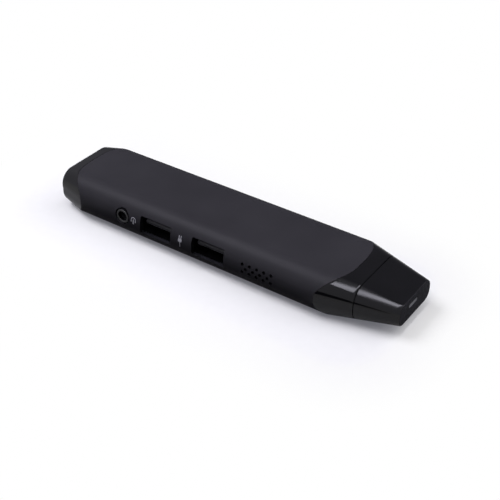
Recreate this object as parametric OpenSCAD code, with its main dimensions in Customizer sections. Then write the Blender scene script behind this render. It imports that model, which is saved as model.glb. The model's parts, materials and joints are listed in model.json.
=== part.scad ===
// Stick computer with an HDMI plug under a pull-off cap.
// A one-piece matte sleeve closes on two tapered end pieces. Two USB sockets, a headset socket
// and fine vent holes are on its front side; power socket, button and lamp are on its back.
// Millimetres. +X points to the plug, +Z is up, the origin is under the middle of the body.

/* [Body] */
// Overall length from the tail to the end of the cap
body_len = 138; // [124:0.5:152]
// Overall width
body_w = 34; // [31:0.5:38]
// Overall height
body_h = 15; // [14.5:0.5:17]
// Radius of the four long edges
edge_r = 7.2; // [6:0.1:7.2]
// Wall of the sleeve
sleeve_wall = 1.5; // [1.3:0.1:1.7]

/* [Tapered ends] */
// Width of the end face of the cap
nose_w = 20.8; // [19:0.1:23]
// Height of the end face of the cap
nose_h = 7.8; // [7.4:0.1:9]
// Corner radius of the end face of the cap
nose_r = 3.2; // [2:0.1:3.6]
// Length over which the sides draw in at the plug end
nose_side_len = 27.5; // [25.5:0.5:29]
// Length over which top and bottom draw in at the plug end
nose_top_len = 19.7; // [18.5:0.1:21]
// Width of the end face of the tail
tail_w = 27.2; // [25:0.1:30]
// Height of the end face of the tail
tail_h = 13.3; // [12:0.1:14]
// Corner radius of the end face of the tail
tail_r = 5.3; // [4:0.1:6]
// Length over which the sides draw in at the tail
tail_side_len = 12.1; // [10.5:0.1:14]
// Length over which top and bottom draw in at the tail
tail_top_len = 4.6; // [4:0.1:6]
// Corner radius where the side tapers start
taper_r = 7.9; // [7:0.1:8.4]
// How square the curved split lines are in plan
split_pow = 3.2; // [2:0.1:5]
// Width of the line between the sleeve and an end piece
split_gap = 0.1; // [0.04:0.02:0.2]
// Rounding of the edges of both end faces
end_round = 0.5; // [0.2:0.1:1]
// Length of the spigots that plug into the sleeve
spigot_len = 4; // [3:0.5:5]
// Wall of the spigots
spigot_wall = 1.2; // [0.9:0.1:1.5]
// Gap around what slides into the sleeve
fit_gap = 0.1; // [0.05:0.05:0.2]
// End wall of the tail piece
tail_wall = 2; // [1.2:0.1:3]
// Wall of the collar behind the cap
collar_wall = 6; // [4.5:0.5:7]
// Width of the snap catches
catch_w = 6; // [4:0.5:8]
// Height of the snap catches
catch_h = 0.5; // [0.3:0.1:0.7]
// Length of the snap catches along the body
catch_l = 1.4; // [1:0.1:1.8]

/* [HDMI plug and cap] */
// Width of the plug
plug_w = 13.9; // [13.7:0.1:14.1]
// Height of the plug
plug_h = 4.45; // [4.3:0.05:4.6]
// Width of the plug across its narrow lower face
plug_low_w = 10.6; // [10:0.1:11.2]
// Height of the straight part of the plug's sides
plug_side = 2.5; // [2.2:0.1:2.8]
// Sheet thickness of the plug's shell
plug_t = 0.35; // [0.25:0.05:0.45]
// How far the plug stands out of the collar
plug_len = 11.8; // [11:0.1:12.5]
// Length of the plug's rear, behind the inside of the collar
plug_rear = 5.7; // [5:0.1:7]
// Width of the mating slot in the plug
plug_slot_w = 11.4; // [11.2:0.1:11.8]
// Height of the mating slot in the plug
plug_slot_h = 1.9; // [1.6:0.1:2.2]
// Spacing of the plug's contacts in one row
hdmi_pitch = 1; // [0.9:0.05:1.1]
// Width of a plug contact
hdmi_pin_w = 0.4; // [0.3:0.05:0.45]
// Gap around the plug in the collar and the cap
plug_gap = 0.3; // [0.2:0.05:0.5]
// Width of the tenon that locates the cap
tenon_w = 21; // [19:0.5:22]
// Height of the tenon
tenon_h = 9.4; // [8.6:0.2:10]
// Corner radius of the tenon
tenon_r = 3.5; // [2.5:0.1:4]
// How far the tenon stands out of the collar
tenon_len = 1.2; // [0.8:0.1:1.6]
// Gap around the tenon in the cap
cap_fit = 0.15; // [0.1:0.05:0.25]
// Seam between collar and cap
cap_gap = 0.2; // [0.1:0.05:0.4]
// End wall of the cap
cap_end = 1.4; // [1.1:0.1:2]
// Length of the slot in the end face of the cap
slot_w = 5.4; // [4:0.1:8]
// Height of that slot
slot_h = 0.9; // [0.6:0.1:1.4]
// Depth of that slot
slot_depth = 0.8; // [0.4:0.1:0.9]
// Height of that slot above the middle of the cap
slot_up = 1.3; // [0:0.1:1.6]
// Distance of that slot from the middle of the cap, towards the front side
slot_side = 1.6; // [0:0.1:3]

/* [Board] */
// Thickness of the board
board_t = 1; // [0.8:0.1:1.2]
// Depth of the board's top face below the middle of the body
board_drop = 2.1; // [1.9:0.1:2.4]
// Gap between the board's edges and the sleeve
board_clear = 0.3; // [0.2:0.1:0.6]
// Width of the carrier's side rails at the board
rail_w = 2.5; // [1.8:0.1:3.5]
// Width of the carrier's cross bars
rib_w = 5; // [4.4:0.2:6]
// Shank diameter of the screws
screw_d = 1.4; // [1.2:0.1:1.6]
// Head diameter of the screws
screw_head_d = 2.8; // [2.4:0.1:3]
// Head height of the screws
screw_head_h = 0.7; // [0.5:0.1:0.9]
// Depth of the screws in the carrier
screw_bite = 2; // [1.5:0.1:2.2]
// Radial clearance of the screw holes
screw_gap = 0.1; // [0.05:0.05:0.2]
// Distance of the tail screws from the middle line
tail_screw_y = 9; // [8:0.5:10]

/* [Layout along the board] */
// Free length from the radio module to the headset socket
radio_gap = 4.1; // [3:0.1:6]
// Free length from the headset socket to the rear USB socket
jack_usb_gap = 5.05; // [4:0.05:7]
// Free length between the USB sockets
usb_gap = 9.3; // [7:0.1:11]
// Free length from the front USB socket to the blower
usb_fan_gap = 3.45; // [3:0.05:5]
// Free length from the blower's screws to the collar
fan_end_gap = 2.9; // [2:0.1:4]

/* [USB sockets] */
// Clear width of a USB socket
usb_in_w = 12.5; // [12.4:0.05:12.6]
// Clear height of a USB socket
usb_in_h = 5.12; // [5:0.02:5.2]
// Sheet thickness of a USB shell
usb_t = 0.3; // [0.2:0.05:0.35]
// Depth of a USB socket
usb_depth = 13.5; // [12.5:0.1:14]
// Gap between the USB shells and the board
usb_lift = 0.24; // [0.1:0.02:0.3]
// Gap above and below a USB shell in its opening
usb_open_gap = 0.35; // [0.2:0.05:0.6]
// How far the side stands out before a socket's shell, less the gap there
port_lip = 1.4; // [1.1:0.1:1.8]
// Gap around the shells in the sleeve
port_clear = 0.15; // [0.1:0.05:0.25]
// Width of the tongue
tongue_w = 11.1; // [10.8:0.1:11.4]
// Thickness of the tongue
tongue_t = 1.84; // [1.6:0.02:2]
// Gap above the tongue
tongue_up = 0.65; // [0.5:0.05:0.8]
// Slope on the upper front edge of the tongue
tongue_slope = 0.95; // [0.5:0.05:1.2]
// How far the tongue sits behind the mouth
tongue_back = 0.9; // [0.6:0.1:1.5]
// Thickness of the block that carries the tongue
tongue_root = 3.5; // [2.5:0.1:4]
// Width of a USB contact
usb_pin_w = 1; // [0.8:0.1:1.2]
// Thickness of a USB contact
usb_pin_t = 0.25; // [0.15:0.05:0.3]

/* [Headset socket] */
// Bore of the headset socket
jack_bore = 3.7; // [3.6:0.05:3.9]
// Outer diameter of the socket's ring
jack_ring_d = 5.5; // [5:0.1:5.8]
// Gap between the ring and the sleeve
jack_gap = 0.35; // [0.2:0.05:0.5]
// Depth of the ring's face below the side of the body
jack_sink = 0.3; // [0.1:0.05:0.6]
// Thickness of the ring
jack_ring_t = 1.3; // [0.8:0.1:1.6]
// Length of the socket's round nose
jack_nose = 2.4; // [2:0.1:3]
// Length of the socket's housing behind the nose
jack_len = 11.5; // [10.5:0.1:12.5]
// Width and height of the socket's housing
jack_size = 6.4; // [6:0.1:6.8]
// Gap under the socket's housing
jack_lift = 0.3; // [0.1:0.05:0.5]
// Solid end of the socket's housing
jack_end = 0.8; // [0.5:0.1:1.2]

/* [Power socket] */
// Offset of the power socket from the headset socket, towards the tail
micro_off = 1.7; // [0:0.1:3]
// Outer width of the power socket
micro_w = 7.5; // [7.3:0.1:7.7]
// Outer height of the power socket
micro_h = 2.5; // [2.4:0.05:2.6]
// Depth of the power socket
micro_depth = 5.2; // [5:0.1:5.6]
// Sheet thickness of the power socket's shell
micro_t = 0.25; // [0.2:0.05:0.3]
// Margin of the opening in the sleeve around the power socket
micro_margin = 0.3; // [0.2:0.05:0.5]
// Gap between the power socket and the board
micro_lift = 0.1; // [0.05:0.05:0.2]

/* [Power button and lamp] */
// Offset of the button from the rear USB socket, towards the plug
button_off = 2.5; // [1:0.1:5]
// Length of the button
button_w = 6; // [5:0.5:7]
// Height of the button
button_h = 2.6; // [2.2:0.1:3]
// Gap around the button
button_gap = 0.2; // [0.15:0.05:0.3]
// Depth of the button's face below the side of the body
button_sink = 0.1; // [0.08:0.02:0.3]
// Travel of the button
button_travel = 0.3; // [0.2:0.05:0.4]
// Margin of the flange that keeps the button in
flange_margin = 0.6; // [0.5:0.1:0.8]
// Thickness of that flange
flange_t = 0.6; // [0.4:0.1:0.8]
// Diameter of the switch's plunger
plunger_d = 1.6; // [1.2:0.1:2]
// Length of the switch's plunger outside the switch
plunger_len = 1; // [0.8:0.1:1.4]
// Width of the switch
switch_w = 4.4; // [4:0.1:5]
// Depth of the switch
switch_depth = 3; // [2.6:0.1:3.4]
// Distance of the lamp from the button
lamp_off = 8; // [6:0.5:9]
// Diameter of the light pipe
pipe_d = 1.2; // [1:0.1:1.5]
// Radial gap around the light pipe
pipe_gap = 0.1; // [0.05:0.05:0.2]

/* [Vents] */
// Height of the vents above the middle of the body
vent_up = 0.75; // [0:0.05:1.5]
// Diameter of a vent hole
vent_d = 1; // [0.7:0.1:1.1]
// Spacing of the holes along a row
vent_pitch = 2.85; // [2.4:0.05:3.2]
// Spacing of the rows
vent_row = 1.44; // [1.3:0.02:1.6]
// Holes in the longer rows
vent_count = 5; // [3:1:6]

/* [Processor and cooling] */
// Edge of the processor
soc_size = 14; // [12:0.5:14]
// Height of the processor
soc_t = 1.2; // [1:0.1:1.4]
// Thickness of the thermal pad
pad_t = 0.4; // [0.3:0.1:0.6]
// Thickness of the heat spreader
spreader_t = 0.6; // [0.5:0.1:0.8]
// Land of the spreader that takes a row of screws
land_w = 4.4; // [4:0.1:4.8]
// Diameter of the spreader's posts
post_d = 3; // [2.6:0.1:3.4]
// Edge of the blower
fan_size = 20; // [19:0.5:22]
// Height of the blower with its cover
fan_h = 4.8; // [4.6:0.1:5.2]
// Thickness of the blower's base
fan_base = 0.6; // [0.4:0.1:0.7]
// Thickness of the blower's cover
fan_cover_t = 0.4; // [0.3:0.1:0.5]
// Thinnest wall of the blower
fan_wall = 1.2; // [0.8:0.1:1.6]
// Gap around the impeller
blade_gap = 1; // [0.6:0.1:1.4]
// Gap between the impeller and the base and cover
blade_float = 0.5; // [0.3:0.05:0.6]
// Number of blades
blade_count = 11; // [7:1:15]
// Thickness of a blade
blade_t = 0.5; // [0.4:0.1:0.7]
// Diameter of the impeller's hub
hub_d = 8; // [7.6:0.1:9]
// Wall of the hub
hub_wall = 0.4; // [0.3:0.1:0.5]
// Wall of the ring magnet
magnet_t = 0.45; // [0.35:0.05:0.6]
// Gap between magnet and stator
air_gap = 0.4; // [0.3:0.05:0.6]
// Diameter of the blower's inlet
inlet_d = 10.4; // [9:0.2:12]
// Diameter of the shaft
shaft_d = 1; // [0.8:0.1:1.2]
// Running clearance of the shaft, on the radius
shaft_gap = 0.05; // [0.02:0.01:0.08]
// Outer diameter of the bearing
bearing_d = 1.9; // [1.8:0.1:2.1]
// Wall of the boss that holds the bearing
boss_wall = 0.45; // [0.35:0.05:0.6]
// Height of the fins
fin_h = 3.7; // [3:0.1:4]
// Thickness of a fin
fin_t = 0.3; // [0.2:0.05:0.5]
// Spacing of the fins
fin_pitch = 1.5; // [1.2:0.1:2]
// Gap between blower and fins
fin_gap = 0.2; // [0.1:0.05:0.4]
// Thickness of the foot of the fins
fin_foot = 0.4; // [0.3:0.1:0.6]

/* [Chips and aerial] */
// Height of the memory, storage and power chips
chip_t = 1; // [0.8:0.1:1.2]
// Edge of a memory chip
memory_size = 8; // [7:0.5:9]
// Gap between the memory chips and the switch of the button
memory_gap = 0.3; // [0.2:0.1:1]
// Edge of the storage chip
storage_size = 11.5; // [10:0.5:13]
// Edge of a power chip
power_size = 6; // [5:0.5:7]
// Edge of an inductor
coil_size = 4; // [3:0.2:4.4]
// Height of an inductor
coil_t = 1.6; // [1.2:0.1:1.8]
// Spacing of the inductors
coil_pitch = 6; // [5.4:0.2:7]
// Length of the radio module along the body
radio_l = 8; // [7:0.5:9]
// Width of the radio module
radio_w = 11; // [9:0.5:12]
// Height of the radio module
radio_t = 1.8; // [1.4:0.1:2.2]
// Width of the aerial
aerial_w = 20; // [16:0.5:21]
// Height of the aerial
aerial_h = 7; // [5:0.5:8]
// Thickness of the aerial
aerial_t = 0.6; // [0.4:0.1:1]
// Diameter of the aerial's lead
lead_d = 0.9; // [0.7:0.1:1.2]

/* [Hidden] */
$fn = 64;

// Overhang of a cutting solid past the face it cuts
cut = 1;
// Gap between fixed pieces that are pressed or soldered together
snug = 0.02;
// Least straight height between the edge radii, on half a side
side_flat = 0.3;
// Gap between sleeve inside and the larger inner parts
inner_clear = 0.4;
half_l = body_len / 2;
half_w = body_w / 2;
mid_z = body_h / 2;
corner_r = min(edge_r, mid_z - side_flat);
cav_w = body_w - 2 * sleeve_wall;
cav_h = body_h - 2 * sleeve_wall;
cav_r = corner_r - sleeve_wall;

// Stations along the body
cap_len = tenon_len + plug_len + plug_gap + cap_end;
seam_x = half_l - cap_len;
tenon_x = seam_x + tenon_len;
plug_tip_x = tenon_x + plug_len;
collar_floor_x = seam_x - collar_wall;
nose_side_x = half_l - nose_side_len;
nose_mid_x = half_l - nose_top_len;
tail_side_x = -half_l + tail_side_len;
tail_mid_x = -half_l + tail_top_len;
carrier_x0 = tail_side_x + spigot_len + board_clear;
carrier_x1 = nose_side_x - spigot_len - board_clear;
board_x1 = collar_floor_x - board_clear;
plug_rear_x = collar_floor_x - plug_rear;

// Heights
board_top = mid_z - board_drop;
board_low = board_top - board_t;
usb_w = usb_in_w + 2 * usb_t;
usb_h = usb_in_h + 2 * usb_t;
usb_z = board_top + usb_lift + usb_h / 2;
tongue_top = usb_z + usb_in_h / 2 - tongue_up;
tongue_low = tongue_top - tongue_t;
jack_z = board_top + jack_lift + jack_size / 2;
micro_z = board_top + micro_lift + micro_h / 2;
vent_z = mid_z + vent_up;
spreader_z = board_top + soc_t + pad_t;
fan_z = spreader_z + spreader_t;

// Depths: the sockets' mouths lie just inside the sleeve
mouth_y = half_w - port_lip - port_clear;
usb_back_y = -mouth_y + usb_depth;
jack_face_y = -half_w + jack_sink;
jack_nose_y = jack_face_y + jack_ring_t;
jack_body_y = jack_nose_y + jack_nose;
jack_back_y = jack_body_y + jack_len;

// Half width of the sleeve's inside at a height above the middle, less a gap
function inside_half(dz, gap) =
  let (r = cav_r - gap, straight = cav_h / 2 - cav_r, over = max(0, abs(dz) - straight))
  cav_w / 2 - cav_r + sqrt(max(0, r * r - over * over));

board_half = inside_half(board_low - mid_z, board_clear);
board_neck = inside_half(board_low - mid_z, fit_gap + spigot_wall + board_clear);
back_y = inside_half(fan_z + fin_h - mid_z, inner_clear);
spreader_y = usb_back_y + usb_pin_w + inner_clear;

// Places along the body: the free lengths share what the parts in the row leave of the carrier
row_len = radio_l + jack_size + 2 * usb_w + fan_size + land_w;
gap_len = radio_gap + jack_usb_gap + usb_gap + usb_fan_gap + fan_end_gap;
share = (carrier_x1 - carrier_x0 - row_len) / gap_len;
radio_x = carrier_x0 + radio_l / 2;
jack_x = radio_x + radio_l / 2 + share * radio_gap + jack_size / 2;
usb_rear_x = jack_x + jack_size / 2 + share * jack_usb_gap + usb_w / 2;
usb_front_x = usb_rear_x + usb_w + share * usb_gap;
vent_x = usb_front_x + usb_w / 2 + share * usb_fan_gap + fan_size / 2;
micro_x = jack_x - micro_off;
button_x = usb_rear_x + button_off;
lamp_x = button_x - lamp_off;

// The blower stands against the front side, and the fins fill the depth behind it
fan_y = fan_size / 2 - inside_half(fan_z + fan_h - mid_z, inner_clear);
fin_depth = back_y - fan_y - fan_size / 2 - fin_gap;

// Screws: one pair at the tail, two pairs through the lands of the spreader
tail_screw_x = carrier_x0 + rib_w / 2;
land_a_x = vent_x - fan_size / 2 - land_w / 2;
land_b_x = vent_x + fan_size / 2 + land_w / 2;
tail_screws = [[tail_screw_x, -tail_screw_y], [tail_screw_x, tail_screw_y]];
land_a_low_y = spreader_y + land_w / 2;
land_a_high_y = back_y - land_w / 2;
land_b_y = fan_y - fan_size / 2 + land_w;
spreader_points = [
  [land_a_x, land_a_low_y], [land_a_x, land_a_high_y],
  [land_b_x, land_b_y], [land_b_x, land_a_high_y]
];

// Power button: face, flange and switch, from the outside in
button_face_y = half_w - button_sink;
flange_half_h = button_h / 2 + flange_margin;
flange_y = inside_half(flange_half_h, port_clear);
plunger_y = flange_y - flange_t;
switch_face_y = plunger_y - plunger_len;

// Impeller
fan_inner_h = fan_h - fan_cover_t;
scroll_r = fan_size / 2 - fan_wall;
blade_r = scroll_r - blade_gap;
blade_z0 = fan_base + blade_float;
blade_z1 = fan_inner_h - blade_float;
hub_in_r = hub_d / 2 - hub_wall;
magnet_in_r = hub_in_r - snug - magnet_t;
stator_r = magnet_in_r - air_gap;
boss_r = bearing_d / 2 + snug + boss_wall;
hub_top_z = blade_z1 - hub_wall;
boss_h = hub_top_z - blade_float;

// Colours
matte_black = "#37363c";
gloss_black = "#1d1c20";
plastic_black = "#18181a";
steel = "#b9bcc0";
gold = "#d8b45a";
board_green = "#1f4d3a";
copper = "#b87a4b";
chip_black = "#232326";

// Sections of the tapered ends: half width, half height, corner radius at a distance from the end
function blend(a, b, t) = a + (b - a) * t;
function nose_section(d) = [
  blend(nose_w / 2, half_w, d / nose_side_len),
  blend(nose_h / 2, mid_z, d / nose_top_len),
  blend(nose_r, taper_r, d / nose_side_len)
];
function tail_section(d) = [
  blend(tail_w / 2, half_w, d / tail_side_len),
  blend(tail_h / 2, mid_z, d / tail_top_len),
  blend(tail_r, taper_r, d / tail_side_len)
];
function shrunk(s, by) = [s[0] - by, s[1] - by, s[2] - by];

// Outline of a section, and a skin over a row of [x, section] stations
corner_steps = 10;
function ring(s) = [
  for (q = [0:3], i = [0:corner_steps])
    let (
      a = 90 * (q + i / corner_steps),
      side_y = (q == 0 || q == 3) ? 1 : -1,
      side_z = q < 2 ? 1 : -1
    )
    [side_y * (s[0] - s[2]) + s[2] * cos(a), side_z * (s[1] - s[2]) + s[2] * sin(a)]
];
module loft(stations) {
  count = len(ring(stations[0][1]));
  last = len(stations) - 1;
  points = [for (s = stations) for (p = ring(s[1])) [s[0], p[0], mid_z + p[1]]];
  sides = [
    for (k = [0:last - 1], i = [0:count - 1])
      let (j = (i + 1) % count)
      [k * count + i, (k + 1) * count + i, (k + 1) * count + j, k * count + j]
  ];
  start = [for (i = [0:count - 1]) i];
  end = [for (i = [count - 1:-1:0]) last * count + i];
  polyhedron(points, concat([start, end], sides));
}
round_angles = [0, 30, 60, 90];
function nose_stations(x0) = concat(
  [[x0, nose_section(half_l - x0)]],
  [
    for (a = round_angles)
      let (d = end_round * (1 - sin(a)))
      [half_l - d, shrunk(nose_section(d), end_round * (1 - cos(a)))]
  ]
);
function tail_stations(x1) = concat(
  [
    for (i = [len(round_angles) - 1:-1:0])
      let (a = round_angles[i], d = end_round * (1 - sin(a)))
      [-half_l + d, shrunk(tail_section(d), end_round * (1 - cos(a)))]
  ],
  [[x1, tail_section(x1 + half_l)]]
);

// Bars of rounded rectangular section along X, and boxes from corner to corner
module rounded(w, h, r) {
  square([w, h - 2 * r], center = true);
  square([w - 2 * r, h], center = true);
  for (a = [-1, 1], b = [-1, 1])
    translate([a * (w / 2 - r), b * (h / 2 - r)])
      circle(r);
}
module along_x(x0, x1)
  translate([x0, 0, mid_z])
    rotate([90, 0, 90])
      linear_extrude(x1 - x0)
        children();
module body_bar(x0, x1)
  along_x(x0, x1) rounded(body_w, body_h, corner_r);
module inside_bar(x0, x1, gap)
  along_x(x0, x1) rounded(cav_w - 2 * gap, cav_h - 2 * gap, cav_r - gap);
module box(low, high)
  translate(low) cube(high - low);
module rod_y(x, z, d, y0, y1)
  translate([x, y0, z]) rotate([-90, 0, 0]) cylinder(d = d, h = y1 - y0);
module oblong_y(x, z, w, h, y0, y1) {
  box([x - (w - h) / 2, y0, z - h / 2], [x + (w - h) / 2, y1, z + h / 2]);
  for (s = [-1, 1])
    rod_y(x + s * (w - h) / 2, z, h, y0, y1);
}

// Plan of the sleeve: both ends bulge outwards along a curve
function split_bulge(y, reach) = reach * pow(abs(y) / half_w, split_pow);
split_steps = 14;
split_ys = [for (i = [-split_steps:split_steps]) (half_w + cut) * i / split_steps];
function nose_split(y) = nose_mid_x - split_bulge(y, nose_side_len - nose_top_len);
function tail_split(y) = tail_mid_x + split_bulge(y, tail_side_len - tail_top_len);
module sleeve_plan(gap) {
  nose_line = [for (y = split_ys) [nose_split(y) - gap, y]];
  tail_line = [for (y = split_ys) [tail_split(-y) + gap, -y]];
  translate([0, 0, -cut])
    linear_extrude(body_h + 2 * cut)
      polygon(concat(nose_line, tail_line));
}

// Snap catches on the spigots, and their pockets in the sleeve
catch_xs = [nose_side_x + catch_l, tail_side_x - catch_l];
module catches(x, gap)
  for (s = [-1, 1])
    let (low = cav_h / 2 - fit_gap - catch_h, high = cav_h / 2 + catch_h - fit_gap)
    translate([x, 0, mid_z + s * (low + high) / 2])
      cube([catch_l + 2 * gap, catch_w + 2 * gap, high - low + 2 * gap], center = true);

// Sleeve with its port openings
module usb_opening(x)
  box(
    [x - usb_w / 2 - port_clear, -half_w - cut, usb_z - usb_h / 2 - usb_open_gap],
    [x + usb_w / 2 + port_clear, -cav_w / 4, usb_z + usb_h / 2 + usb_open_gap]
  );
module micro_opening() {
  box(
    [micro_x - micro_w / 2 - micro_margin, cav_w / 4, micro_z - micro_h / 2 - micro_margin],
    [micro_x + micro_w / 2 + micro_margin, half_w + cut, micro_z + micro_h / 2 + micro_margin]
  );
}
module vents(side)
  for (row = [-1:1])
    let (count = row == 0 ? vent_count - 1 : vent_count)
    for (i = [0:count - 1])
      let (x = vent_x + (i - (count - 1) / 2) * vent_pitch, z = vent_z + row * vent_row)
      mirror([0, side < 0 ? 1 : 0, 0])
        rod_y(x, z, vent_d, cav_w / 4, half_w + cut);
module sleeve()
  color(matte_black)
    difference() {
      intersection() {
        body_bar(-half_l, half_l);
        sleeve_plan(split_gap / 2);
      }
      inside_bar(-half_l - cut, half_l + cut, 0);
      usb_opening(usb_rear_x);
      usb_opening(usb_front_x);
      rod_y(jack_x, jack_z, jack_ring_d + 2 * jack_gap, -half_w - cut, -cav_w / 4);
      micro_opening();
      oblong_y(
        button_x, mid_z, button_w + 2 * button_gap, button_h + 2 * button_gap,
        cav_w / 4, half_w + cut
      );
      rod_y(lamp_x, mid_z, pipe_d + 2 * pipe_gap, cav_w / 4, half_w + cut);
      vents(-1);
      vents(1);
      for (x = catch_xs)
        catches(x, fit_gap);
    }

// End pieces
module tail_cap()
  color(gloss_black)
    difference() {
      union() {
        intersection() {
          loft(tail_stations(tail_side_x + spigot_len + cut));
          union() {
            difference() {
              body_bar(-half_l - cut, tail_side_x + spigot_len);
              sleeve_plan(-split_gap / 2);
            }
            inside_bar(tail_mid_x - cut, tail_side_x + spigot_len, fit_gap);
          }
        }
        catches(catch_xs[1], 0);
      }
      inside_bar(tail_side_x - cut, tail_side_x + spigot_len + cut, fit_gap + spigot_wall);
      along_x(-half_l + tail_wall, tail_side_x)
        rounded(tail_w - 2 * tail_wall, tail_h - 2 * tail_wall, tail_r - tail_wall);
    }
plug_slant = atan2(plug_h - plug_side, (plug_w - plug_low_w) / 2);
module plug_profile(grow) {
  wide = plug_w / 2 + grow;
  narrow = plug_low_w / 2 + grow * tan(plug_slant / 2);
  tall = plug_h / 2 + grow;
  knee = plug_h / 2 - plug_side - grow * tan((90 - plug_slant) / 2);
  polygon([[-wide, tall], [-wide, knee], [-narrow, -tall], [narrow, -tall], [wide, knee], [wide, tall]]);
}
module front_collar()
  color(gloss_black)
    difference() {
      union() {
        intersection() {
          loft([
            for (x = [nose_side_x - spigot_len - cut, seam_x]) [x, nose_section(half_l - x)]
          ]);
          union() {
            difference() {
              body_bar(nose_side_x - spigot_len, seam_x);
              sleeve_plan(-split_gap / 2);
            }
            inside_bar(nose_side_x - spigot_len, nose_mid_x + cut, fit_gap);
          }
        }
        catches(catch_xs[0], 0);
        along_x(seam_x - cut, tenon_x) rounded(tenon_w, tenon_h, tenon_r);
      }
      inside_bar(nose_side_x - spigot_len - cut, collar_floor_x, fit_gap + spigot_wall);
      along_x(collar_floor_x - cut, tenon_x + cut) plug_profile(plug_gap);
    }
module hdmi_cap()
  color(gloss_black)
    difference() {
      loft(nose_stations(seam_x + cap_gap));
      along_x(seam_x, tenon_x + cap_fit)
        rounded(tenon_w + 2 * cap_fit, tenon_h + 2 * cap_fit, tenon_r + cap_fit);
      along_x(seam_x, plug_tip_x + plug_gap) plug_profile(plug_gap);
      for (s = [-1, 1])
        translate([half_l - slot_depth, -slot_side + s * (slot_w - slot_h) / 2, mid_z + slot_up])
          rotate([0, 90, 0])
            cylinder(d = slot_h, h = slot_depth + cut);
      translate([half_l - slot_depth, -slot_side - (slot_w - slot_h) / 2, mid_z + slot_up - slot_h / 2])
        cube([slot_depth + cut, slot_w - slot_h, slot_h]);
    }

// HDMI plug
latch_at = 4.7;
latch_x = tenon_x + latch_at;
latch_l = 2.2;
latch_w = 1.6;
ear_w = 2.5;
ear_l = 3;
module hdmi_shell()
  color(steel) {
    difference() {
      along_x(plug_rear_x, plug_tip_x) plug_profile(0);
      along_x(plug_rear_x - cut, plug_tip_x + cut) plug_profile(-plug_t);
      for (s = [-1, 1])
        translate([latch_x, s * plug_w / 4 - latch_w / 2, mid_z])
          cube([latch_l, latch_w, plug_h]);
    }
    for (s = [0, 1])
      mirror([0, s, 0])
        box(
          [plug_rear_x + plug_gap, plug_low_w / 2 + plug_t / 2, board_top],
          [plug_rear_x + plug_gap + ear_l, plug_w / 2 + ear_w, board_top + plug_t]
        );
  }
module hdmi_insulator()
  color(plastic_black)
    difference() {
      along_x(plug_rear_x, plug_tip_x - plug_t) plug_profile(-plug_t - snug);
      translate([plug_rear_x - cut, -plug_slot_w / 2, mid_z - plug_slot_h / 2])
        cube([plug_tip_x - plug_rear_x + 2 * cut, plug_slot_w, plug_slot_h]);
    }
pin_t = 0.2;
foot_l = 0.8;
module hdmi_pin(y, top, leg_x) {
  low = y - hdmi_pin_w / 2;
  high = y + hdmi_pin_w / 2;
  z = top ? mid_z + plug_slot_h / 2 - pin_t : mid_z - plug_slot_h / 2;
  box([leg_x, low, z], [plug_tip_x - tenon_len, high, z + pin_t]);
  box([leg_x, low, board_top], [leg_x + pin_t, high, z + pin_t]);
  box([leg_x - foot_l, low, board_top], [leg_x + pin_t, high, board_top + pin_t]);
}
module hdmi_contacts()
  color(gold) {
    for (i = [-4.5:1:4.5])
      hdmi_pin(i * hdmi_pitch, true, plug_rear_x - foot_l - board_clear);
    for (i = [-4:1:4])
      hdmi_pin(i * hdmi_pitch, false, plug_rear_x - foot_l - board_clear);
  }

// USB sockets
usb_pin_xs = [-3.5, -1, 1, 3.5];
tab_l = 2;
tab_y = -mouth_y + usb_depth / 2;
module usb_shell(x)
  color(steel) {
    difference() {
      box([x - usb_w / 2, -mouth_y, usb_z - usb_h / 2], [x + usb_w / 2, usb_back_y, usb_z + usb_h / 2]);
      box(
        [x - usb_in_w / 2, -mouth_y - cut, usb_z - usb_in_h / 2],
        [x + usb_in_w / 2, usb_back_y + cut, usb_z + usb_in_h / 2]
      );
    }
    for (s = [-1, 1])
      usb_tab(x, s, 0);
  }
module usb_tab(x, side, gap) {
  centre = x + side * (usb_w - usb_t) / 2;
  box(
    [centre - usb_t / 2 - gap, tab_y - gap, board_low],
    [centre + usb_t / 2 + gap, tab_y + tab_l + gap, usb_z - usb_in_h / 2 + gap]
  );
}
module usb_tongue(x)
  color(plastic_black)
    difference() {
      union() {
        box(
          [x - usb_in_w / 2 + snug, usb_back_y - tongue_root, usb_z - usb_in_h / 2 + snug],
          [x + usb_in_w / 2 - snug, usb_back_y, usb_z + usb_in_h / 2 - snug]
        );
        box(
          [x - tongue_w / 2, -mouth_y + tongue_back, tongue_low],
          [x + tongue_w / 2, usb_back_y - tongue_root / 2, tongue_top]
        );
      }
      translate([x - tongue_w / 2 - cut, -mouth_y + tongue_back, tongue_top - tongue_slope])
        rotate([45, 0, 0])
          cube([tongue_w + 2 * cut, 2 * tongue_slope, tongue_slope]);
      for (dx = usb_pin_xs)
        box(
          [x + dx - usb_pin_w / 2 - snug, usb_back_y - tongue_root - snug, tongue_low - usb_pin_t - snug],
          [x + dx + usb_pin_w / 2 + snug, usb_back_y + cut, tongue_low]
        );
    }
module usb_contacts(x)
  color(gold)
    for (dx = usb_pin_xs) {
      left = x + dx - usb_pin_w / 2;
      right = x + dx + usb_pin_w / 2;
      leg_y = usb_back_y + usb_pin_w;
      box([left, -mouth_y + 2 * tongue_back, tongue_low - usb_pin_t], [right, leg_y, tongue_low]);
      box([left, leg_y - usb_pin_t, board_top], [right, leg_y, tongue_low]);
    }
module usb_rear_shell() usb_shell(usb_rear_x);
module usb_rear_tongue() usb_tongue(usb_rear_x);
module usb_rear_contacts() usb_contacts(usb_rear_x);
module usb_front_shell() usb_shell(usb_front_x);
module usb_front_tongue() usb_tongue(usb_front_x);
module usb_front_contacts() usb_contacts(usb_front_x);

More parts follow.
